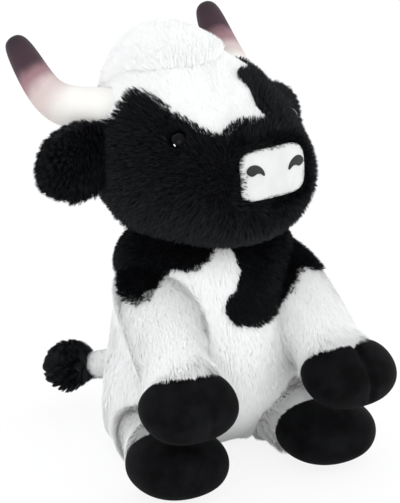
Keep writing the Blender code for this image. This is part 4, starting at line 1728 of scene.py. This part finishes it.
@dataclass
class Ear:
    """A soft drooping ear in black pile."""

    head: Head
    side: Side
    height: float = 0.052
    thickness: float = 0.016
    places: tuple[Triple, ...] = (
        (0.06, 0.034, 0.255), (0.072, 0.034, 0.254), (0.087, 0.034, 0.251),
        (0.102, 0.035, 0.243), (0.112, 0.035, 0.232), (0.116, 0.035, 0.223),
    )
    height_shares: tuple[float, ...] = (0.4, 0.52, 0.98, 1.16, 0.92, 0.46)
    thickness_shares: tuple[float, ...] = (0.6, 0.8, 1.1, 1.1, 0.9, 0.5)
    sides: int = 6
    strands: int = 34000
    root: Triple = (0.073, 0.034, 0.255)
    left_lean: float = math.radians(12)
    left_droop: float = math.radians(7)
    depth_share: float = 0.7
    comb_rise: float = 0.005

    def lie(self) -> Matrix:
        """How the ear lies on the turned head: the left one further back.

        Returns:
            The ear's turn.
        """
        turn = self.head.layout.head_matrix
        if self.side is Side.LEFT:
            back = Matrix.Rotation(self.left_lean, 4, "Z") @ Matrix.Rotation(self.left_droop, 4, "Y")
            turn = turn @ Matrix.Translation(self.root) @ back @ Matrix.Translation(-Vector(self.root))
        return turn

    def build(self) -> None:
        """Builds the ear's skin."""
        out = self.side.value
        rings = [
            Ring((x * out, y, z), thick * self.thickness / 2, tall * self.height / 2)
            for (x, y, z), thick, tall in zip(self.places, self.thickness_shares, self.height_shares)
        ]
        matrices = ring_matrices(rings, (0, 0, 1))
        ear = ring_piece(f"ear_cover_{self.side.label}", matrices, self.sides, 3, turn=self.lie())
        shifted(ear, -PILE_DEPTH * self.depth_share)
        ear.data.materials.append(material_of(BLACK_BACKING))
        self.skin = dressed(ear, f"ear_{self.side.label}", "black_pile", f"ear_{self.side.label}", fill=0.4)
        self.form = SoftForm(ear.name, ear.data)

    def comb(self, roots: Array, normals: Array) -> Array:
        """Brushes the ear out from its root.

        Args:
            roots: the strands' roots, one a row.
            normals: the skin's normals there.

        Returns:
            The way of each strand.
        """
        x, y, z = self.places[0]
        root = self.lie() @ Vector((x * self.side.value, y, z + self.comb_rise))
        return unit(roots - np.array(root))

    def grow(self, clear: Keep) -> None:
        """Grows the ear's pile.

        Args:
            clear: says which roots are clear of head and horns.
        """
        pile = grow_pile(
            f"ear_pile_{self.side.label}", self.skin, self.strands, EAR_PILE, BLACK_STRANDS, self.comb,
            everywhere, clear, 31 + self.side.value,
        )
        dressed(pile, f"ear_{self.side.label}", "black_pile")


@dataclass
class Leg:
    """A stuffed leg with white pile, black at a foreleg's shoulder, and its soft hoof."""

    side: Side
    which: str
    width: float
    height: float
    places: tuple[Triple, ...]
    width_shares: tuple[float, ...]
    height_shares: tuple[float, ...]
    hoof_place: Triple
    hoof_height: float
    hoof_length: float
    hoof_tilt: float
    strands: int
    layout: Layout = LAYOUT
    sides: int = 6
    seat: float = 0.0003
    hoof_width: float = 0.0735
    hoof_sides: int = 8
    hoof_square_share: float = 0.08
    hoof_alongs: tuple[float, ...] = (0.5, 0.42, 0.2, -0.1, -0.34, -0.47, -0.5)
    hoof_sizes: tuple[float, ...] = (0.5, 0.88, 1.04, 1.04, 0.88, 0.6, 0.3)
    cleft_depth: float = 0.0005
    cleft_width: float = 0.003
    cleft_out: float = 0.006
    cleft_lean: float = 0.12
    cleft_low: float = -0.3
    cleft_fade: float = 0.35
    fringe: float = 0.006
    fringe_growth: float = 0.7
    comb_drop: float = 0.25

    @property
    def body(self) -> str:
        """The body that the leg rides on."""
        return f"{self.which}leg_{self.side.label}"

    def build(self) -> None:
        """Builds the leg's skin and its hoof."""
        out = self.side.value
        rings = [
            Ring((x * out, y, z), wide * self.width / 2, tall * self.height / 2)
            for (x, y, z), wide, tall in zip(self.places, self.width_shares, self.height_shares)
        ]
        name = f"{self.which}leg_cover_{self.side.label}"
        leg = ring_piece(name, ring_matrices(rings, (0, 0, 1)), self.sides, 4)
        shifted(leg, -PILE_DEPTH)
        flat_seat(leg, self.seat)
        two_toned(leg, self.layout.body_black)
        nodes = [f"{self.which}leg_skin_{self.side.label}"]
        if self.which == "fore":
            nodes.append(f"foreleg_top_{self.side.label}")
        self.skin = dressed(leg, self.body, "white_pile", *nodes, fill=0.8)
        self.form = SoftForm(leg.name, leg.data)
        self._hoof()

    def hoof_middle(self) -> Vector:
        """The middle of the hoof."""
        x, y, z = self.hoof_place
        return Vector((x * self.side.value, y, z))

    def _hoof(self) -> None:
        """A padded boot in rings from the seam to the toe, with a soft cleft between two toes."""
        lie = Matrix.Translation(self.hoof_middle()) @ Matrix.Rotation(self.hoof_tilt, 4, "X")
        matrices = []
        upright = Matrix.Rotation(math.radians(90), 4, "X")
        for along, size in zip(self.hoof_alongs, self.hoof_sizes):
            ahead = Matrix.Translation((0, along * self.hoof_length, 0)) @ upright
            stretch = Matrix.Diagonal((size * self.hoof_width / 2, size * self.hoof_height / 2, 1, 1))
            matrices.append(lie @ ahead @ stretch)
        name = f"{self.which}_hoof_cover_{self.side.label}"
        hoof = ring_piece(name, matrices, self.hoof_sides, 4, self.hoof_square_share)
        self._cleft(hoof, lie)
        flat_seat(hoof, self.seat)
        hoof.data.materials.append(material_of(HOOF_PILE))
        dressed(hoof, self.body, "black_short_pile", f"{self.which}_hoof_{self.side.label}", fill=0.9)
        self.hoof = SoftForm(hoof.name, hoof.data)

    def _cleft(self, hoof: bpy.types.Object, lie: Matrix) -> None:
        """Draws the hoof's skin in along the line between its toes.

        Args:
            hoof: the hoof.
            lie: the hoof's own place and turn.
        """
        cage = bmesh.new()
        cage.from_mesh(hoof.data)
        into = lie.inverted()
        for vert in cage.verts:
            place = into @ vert.co
            high = place.z / self.hoof_height
            share = min(1.0, max(0.0, (high - self.cleft_low) / self.cleft_fade))
            off = place.x - self.cleft_out + self.cleft_lean * place.z
            vert.co -= vert.normal * self.cleft_depth * share * math.exp(-((off / self.cleft_width) ** 2))
        cage.to_mesh(hoof.data)
        cage.free()

    def comb(self, roots: Array, normals: Array) -> Array:
        """Brushes the leg towards its hoof.

        Args:
            roots: the strands' roots, one a row.
            normals: the skin's normals there.

        Returns:
            The way of each strand.
        """
        out = self.side.value
        line = np.array([(x * out, y, z) for x, y, z in self.places])
        middles = (line[1:] + line[:-1]) / 2
        runs = unit(line[1:] - line[:-1])
        nearest = np.argmin(((roots[:, None] - middles[None]) ** 2).sum(axis=2), axis=1)
        return runs[nearest] + np.array((0.0, 0.0, -self.comb_drop))

    def longer(self, points: Array) -> Array:
        """Pile stands up longer at the hoof, and hangs over its seam.

        Args:
            points: the strands' roots, one a row.

        Returns:
            How many times its length each strand has.
        """
        seam = Matrix.Translation(self.hoof_middle()) @ Matrix.Rotation(self.hoof_tilt, 4, "X")
        back = turned(points, seam.inverted())[:, 1] - self.hoof_alongs[0] * self.hoof_length
        return 1 + self.fringe_growth * np.exp(-((back / self.fringe) ** 2))

    def grow(self, clear: Keep, crease: Measure) -> None:
        """Grows the leg's pile.

        Args:
            clear: says which roots are clear of the trunk and of its own hoof.
            crease: how much longer the white pile stands where the leg meets the trunk.
        """
        seed = (51 if self.which == "hind" else 41) + self.side.value * 3
        lay = self.layout
        white = grow_pile(
            f"{self.which}leg_white_pile_{self.side.label}", self.skin, self.strands, WHITE_PILE,
            WHITE_STRANDS, self.comb, lay.body_white, clear, seed,
            lambda points: self.longer(points) * crease(points),
        )
        dressed(white, self.body, "white_pile")
        if self.which == "fore":
            dark = grow_pile(
                f"foreleg_black_pile_{self.side.label}", self.skin, self.strands, BLACK_PILE, BLACK_STRANDS,
                self.comb, lay.body_black, clear, seed + 1,
            )
            dressed(dark, self.body, "black_pile")


@dataclass
class Tail:
    """The short-pile tail and its long black tuft."""

    width: float = 0.032
    places: tuple[Triple, ...] = (
        (0.004, 0.064, 0.046), (-0.006, 0.077, 0.044), (-0.027, 0.096, 0.04),
        (-0.049, 0.1105, 0.038), (-0.054, 0.113, 0.038),
    )
    shares: tuple[float, ...] = (0.7, 1.0, 0.9, 0.76, 0.4)
    tuft_width: float = 0.034
    tuft_height: float = 0.038
    tuft_places: tuple[Triple, ...] = (
        (-0.04, 0.1055, 0.038), (-0.047, 0.1105, 0.038), (-0.061, 0.1175, 0.036),
        (-0.073, 0.1235, 0.038), (-0.08, 0.127, 0.04),
    )
    tuft_shares: tuple[float, ...] = (0.5, 0.86, 1.12, 0.9, 0.4)
    sides: int = 6
    cover_depth: float = 0.0018
    tuft_depth: float = 0.009
    tuft_start: Triple = (-0.052, 0.112, 0.031)
    strands: int = 24000
    root_strands: int = 16000

    def build(self) -> None:
        """Builds the tail, its tuft's core and their pile."""
        rings = [
            Ring(place, share * self.width / 2, share * self.width / 2)
            for place, share in zip(self.places, self.shares)
        ]
        tail = ring_piece("tail_cover", ring_matrices(rings, (0, 0, 1)), self.sides, 3)
        shifted(tail, -self.cover_depth)
        tail.data.materials.append(material_of(WHITE_BACKING))
        dressed(tail, "tail", "white_pile", "tail_skin", fill=0.8)
        rings = [
            Ring(place, share * self.tuft_width / 2, share * self.tuft_height / 2)
            for place, share in zip(self.tuft_places, self.tuft_shares)
        ]
        tuft = ring_piece("tail_tuft_core", ring_matrices(rings, (0, 0, 1)), self.sides, 3)
        shifted(tuft, -self.tuft_depth)
        tuft.data.materials.append(material_of(BLACK_BACKING))
        dressed(tuft, "tail", "black_pile", "tail_tuft", fill=0.4)
        core = SoftForm("tuft", tuft.data)
        tail_form = SoftForm("tail", tail.data)
        start = np.array(self.tuft_start)

        def out_comb(roots: Array, normals: Array) -> Array:
            """Brushes the tuft away from the tail."""
            return unit(roots - start)

        pile = grow_pile(
            "tail_tuft_pile", tuft, self.strands, TUFT_PILE, BLACK_STRANDS, out_comb,
            everywhere, outside_of(tail_form), 61,
        )
        dressed(pile, "tail", "black_pile")
        root = grow_pile(
            "tail_white_pile", tail, self.root_strands, TAIL_PILE, WHITE_STRANDS, out_comb,
            everywhere, outside_of(core), 62,
        )
        dressed(root, "tail", "white_pile")


@dataclass
class Studio:
    """Camera at the photograph's angle, a pale floor and soft light."""

    azimuth: float = math.radians(-29)
    elevation: float = math.radians(19)
    distance: float = 1.8
    metres_per_pixel: float = 0.0008
    origin_x: float = 207.0
    origin_y: float = 443.0
    sensor: float = 36.0
    floor_size: float = 6.0
    chest: Triple = (0.0, 0.0, 0.17)
    eye_place: Triple = (-0.053, -0.045, 0.268)
    key: tuple[Triple, float, float] = ((-1.1, -1.6, 0.65), 1.2, 8.0)
    fill: tuple[Triple, float, float] = ((1.4, -1.3, 0.5), 1.4, 7.0)
    glint: tuple[Triple, float, float] = ((-0.31, -0.01, 0.1), 0.13, 9.0)
    sky: Triple = (0.97, 0.985, 1.0)
    sky_strength: float = 1.2
    floor_shade: float = 0.94
    floor_roughness: float = 0.9
    floor_glow: float = 0.86

    def build(self) -> None:
        """Builds the whole studio."""
        self._camera()
        self._world()
        self._floor()
        self._lamp("key_light", *self.key, self.chest)
        self._lamp("fill_light", *self.fill, self.chest)
        bpy.context.scene.view_settings.view_transform = "Standard"

    def light_eyes(self, eyes: Sequence[bpy.types.Object]) -> None:
        """A small lamp whose reflection makes the eyes' highlight, and that lights nothing else.

        Args:
            eyes: the domes.
        """
        glint = self._lamp("glint_light", *self.glint, self.eye_place)
        glint.visible_diffuse = False
        glint.visible_camera = False
        seen_by = bpy.data.collections.new("eye_domes")
        for eye in eyes:
            seen_by.objects.link(eye)
        glint.light_linking.receiver_collection = seen_by

    def axes(self) -> tuple[Vector, Vector, Vector]:
        """The camera's own ways.

        Returns:
            Its right, up and backward ways.
        """
        a, e = self.azimuth, self.elevation
        back = Vector((math.sin(a) * math.cos(e), -math.cos(a) * math.cos(e), math.sin(e)))
        right = Vector((math.cos(a), math.sin(a), 0))
        return right, back.cross(right), back

    def _camera(self) -> None:
        """The camera, level and with no shift."""
        right, up, back = self.axes()
        scale = self.metres_per_pixel
        centre = right * ((PHOTO_WIDTH / 2 - self.origin_x) * scale)
        centre += up * ((self.origin_y - PHOTO_HEIGHT / 2) * scale)
        data = bpy.data.cameras.new("photo_camera")
        data.sensor_fit = "VERTICAL"
        data.sensor_height = self.sensor
        data.lens = self.sensor * self.distance / (PHOTO_HEIGHT * scale)
        made = bpy.data.objects.new("photo_camera", data)
        bpy.context.scene.collection.objects.link(made)
        turn = Matrix((right, up, back)).transposed().to_4x4()
        made.matrix_world = Matrix.Translation(centre + back * self.distance) @ turn
        bpy.context.scene.camera = made

    def _world(self) -> None:
        """White behind the object and in its reflections, and an even light from all round."""
        world = bpy.data.worlds.new("studio")
        bpy.context.scene.world = world
        world.use_nodes = True
        tree = world.node_tree
        light = tree.nodes["Background"]
        light.inputs["Color"].default_value = (*self.sky, 1)
        light.inputs["Strength"].default_value = self.sky_strength
        shown = tree.nodes.new("ShaderNodeBackground")
        shown.inputs["Color"].default_value = (1, 1, 1, 1)
        path = tree.nodes.new("ShaderNodeLightPath")
        choice = tree.nodes.new("ShaderNodeMixShader")
        rays = path.outputs
        seen = math_node(tree, "MAXIMUM", rays["Is Camera Ray"], rays["Is Transmission Ray"])
        tree.links.new(seen.outputs[0], choice.inputs["Fac"])
        tree.links.new(light.outputs["Background"], choice.inputs[1])
        tree.links.new(shown.outputs["Background"], choice.inputs[2])
        tree.links.new(choice.outputs["Shader"], tree.nodes["World Output"].inputs["Surface"])

    def _floor(self) -> None:
        """A pale floor that looks white and keeps a faint shadow."""
        cage = bmesh.new()
        bmesh.ops.create_grid(cage, x_segments=1, y_segments=1, size=self.floor_size / 2)
        floor = mesh_object("floor", cage)
        made, shader = new_material("floor_white")
        tree = made.node_tree
        shader.inputs["Base Color"].default_value = (*(self.floor_shade,) * 3, 1)
        shader.inputs["Roughness"].default_value = self.floor_roughness
        glow = tree.nodes.new("ShaderNodeEmission")
        path = tree.nodes.new("ShaderNodeLightPath")
        share = math_node(tree, "MULTIPLY", path.outputs["Is Camera Ray"], self.floor_glow)
        choice = tree.nodes.new("ShaderNodeMixShader")
        tree.links.new(share.outputs[0], choice.inputs["Fac"])
        tree.links.new(shader.outputs["BSDF"], choice.inputs[1])
        tree.links.new(glow.outputs["Emission"], choice.inputs[2])
        tree.links.new(choice.outputs["Shader"], tree.nodes["Material Output"].inputs["Surface"])
        floor.data.materials.append(made)

    def _lamp(self, name: str, place: Triple, size: float, power: float, at: Triple) -> bpy.types.Object:
        """A square soft light aimed at a place.

        Args:
            name: the lamp's name.
            place: where it hangs.
            size: the length of its side.
            power: its power in watts.
            at: what it is aimed at.

        Returns:
            The lamp.
        """
        data = bpy.data.lights.new(name, "AREA")
        data.size = size
        data.energy = power
        made = bpy.data.objects.new(name, data)
        bpy.context.scene.collection.objects.link(made)
        aim = Vector(at) - Vector(place)
        made.matrix_world = Matrix.Translation(place) @ aim.to_track_quat("-Z", "Y").to_matrix().to_4x4()
        return made


FORE_CLEFT_DEPTHS = {Side.RIGHT: 0.0011, Side.LEFT: 0.003}


def foreleg(side: Side) -> Leg:
    """A foreleg; the left one's hoof is pinched deeper between its toes.

    Args:
        side: the cow's side that it is on.

    Returns:
        The leg.
    """
    leg = Leg(
        side, "fore", 0.06, 0.064,
        (
            (0.042, 0.026, 0.148), (0.047, 0.014, 0.147), (0.054, -0.016, 0.137), (0.061, -0.05, 0.1135),
            (0.067, -0.078, 0.09), (0.069, -0.09, 0.083), (0.07, -0.1, 0.078),
        ),
        (0.5, 0.86, 1.12, 1.06, 0.98, 0.84, 0.45), (0.5, 0.86, 1.14, 1.08, 0.92, 0.72, 0.4),
        (0.07, -0.09945, 0.0805), 0.042, 0.05, math.radians(27), 60000,
    )
    leg.cleft_depth = FORE_CLEFT_DEPTHS[side]
    return leg


def hindleg(side: Side) -> Leg:
    """A hind leg.

    Args:
        side: the cow's side that it is on.

    Returns:
        The leg.
    """
    return Leg(
        side, "hind", 0.064, 0.057,
        (
            (0.04, 0.012, 0.0305), (0.0464, 0.0, 0.0305), (0.0573, -0.024, 0.0305),
            (0.0627, -0.047, 0.0285), (0.065, -0.066, 0.026), (0.065, -0.075, 0.0255),
        ),
        (0.62, 1.02, 1.22, 1.1, 0.82, 0.5), (0.62, 0.96, 1.1, 1.05, 0.82, 0.5),
        (0.066, -0.07455, 0.02548), 0.046, 0.063, 0.0, 42000,
    )


def dress_inner_nodes() -> None:
    """Gives the pieces inside the skins their own finishes."""
    for name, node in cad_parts.items():
        if "stuffing" in name:
            finish = FIBRE_FILL
        elif "washer" in name:
            finish = WASHER_PLASTIC
        elif name == "pellet_bag":
            finish = BAG_CLOTH
        else:
            continue
        node.data.materials.clear()
        node.data.materials.append(material_of(finish))


def main() -> None:
    """Builds the cow from the trunk out, and reports each piece."""
    logging.basicConfig(level=logging.INFO, format="%(message)s")
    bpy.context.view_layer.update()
    studio = Studio()
    studio.build()
    dress_inner_nodes()
    trunk = Trunk()
    trunk.build()
    head = Head()
    head.build()
    nose = Nose(head)
    nose.build()
    eyes = [Eye(head, side) for side in Side]
    horns = [Horn(head, side) for side in Side]
    ears = [Ear(head, side) for side in Side]
    legs = [make(side) for side in Side for make in (foreleg, hindleg)]
    for piece in (*eyes, *horns, *ears, *legs):
        piece.build()
    studio.light_eyes([eye.dome for eye in eyes])
    leg_forms = [form for leg in legs for form in (leg.form, leg.hoof)]
    trunk.grow(outside_of(head.form, *leg_forms), crease_growth(*leg_forms))
    horn_forms = [horn.form for horn in horns]
    off_head = outside_of(*horn_forms, trunk.form, *(ear.form for ear in ears))
    open_face = both(eyes[0].clear, eyes[1].clear)

    def longer(points: Array) -> Array:
        """The face's pile stands up round the nose and the eyes."""
        return nose.longer(points) * eyes[0].longer(points) * eyes[1].longer(points)

    head.grow(both(nose.clear, both(open_face, off_head)), open_face, longer, nose.comb)
    for ear in ears:
        ear.grow(outside_of(head.form, head.crown_form, *horn_forms))
    for leg in legs:
        leg.grow(outside_of(trunk.form, head.form, leg.hoof), crease_growth(trunk.form))
    Tail().build()


if __name__ == "__main__":
    main()
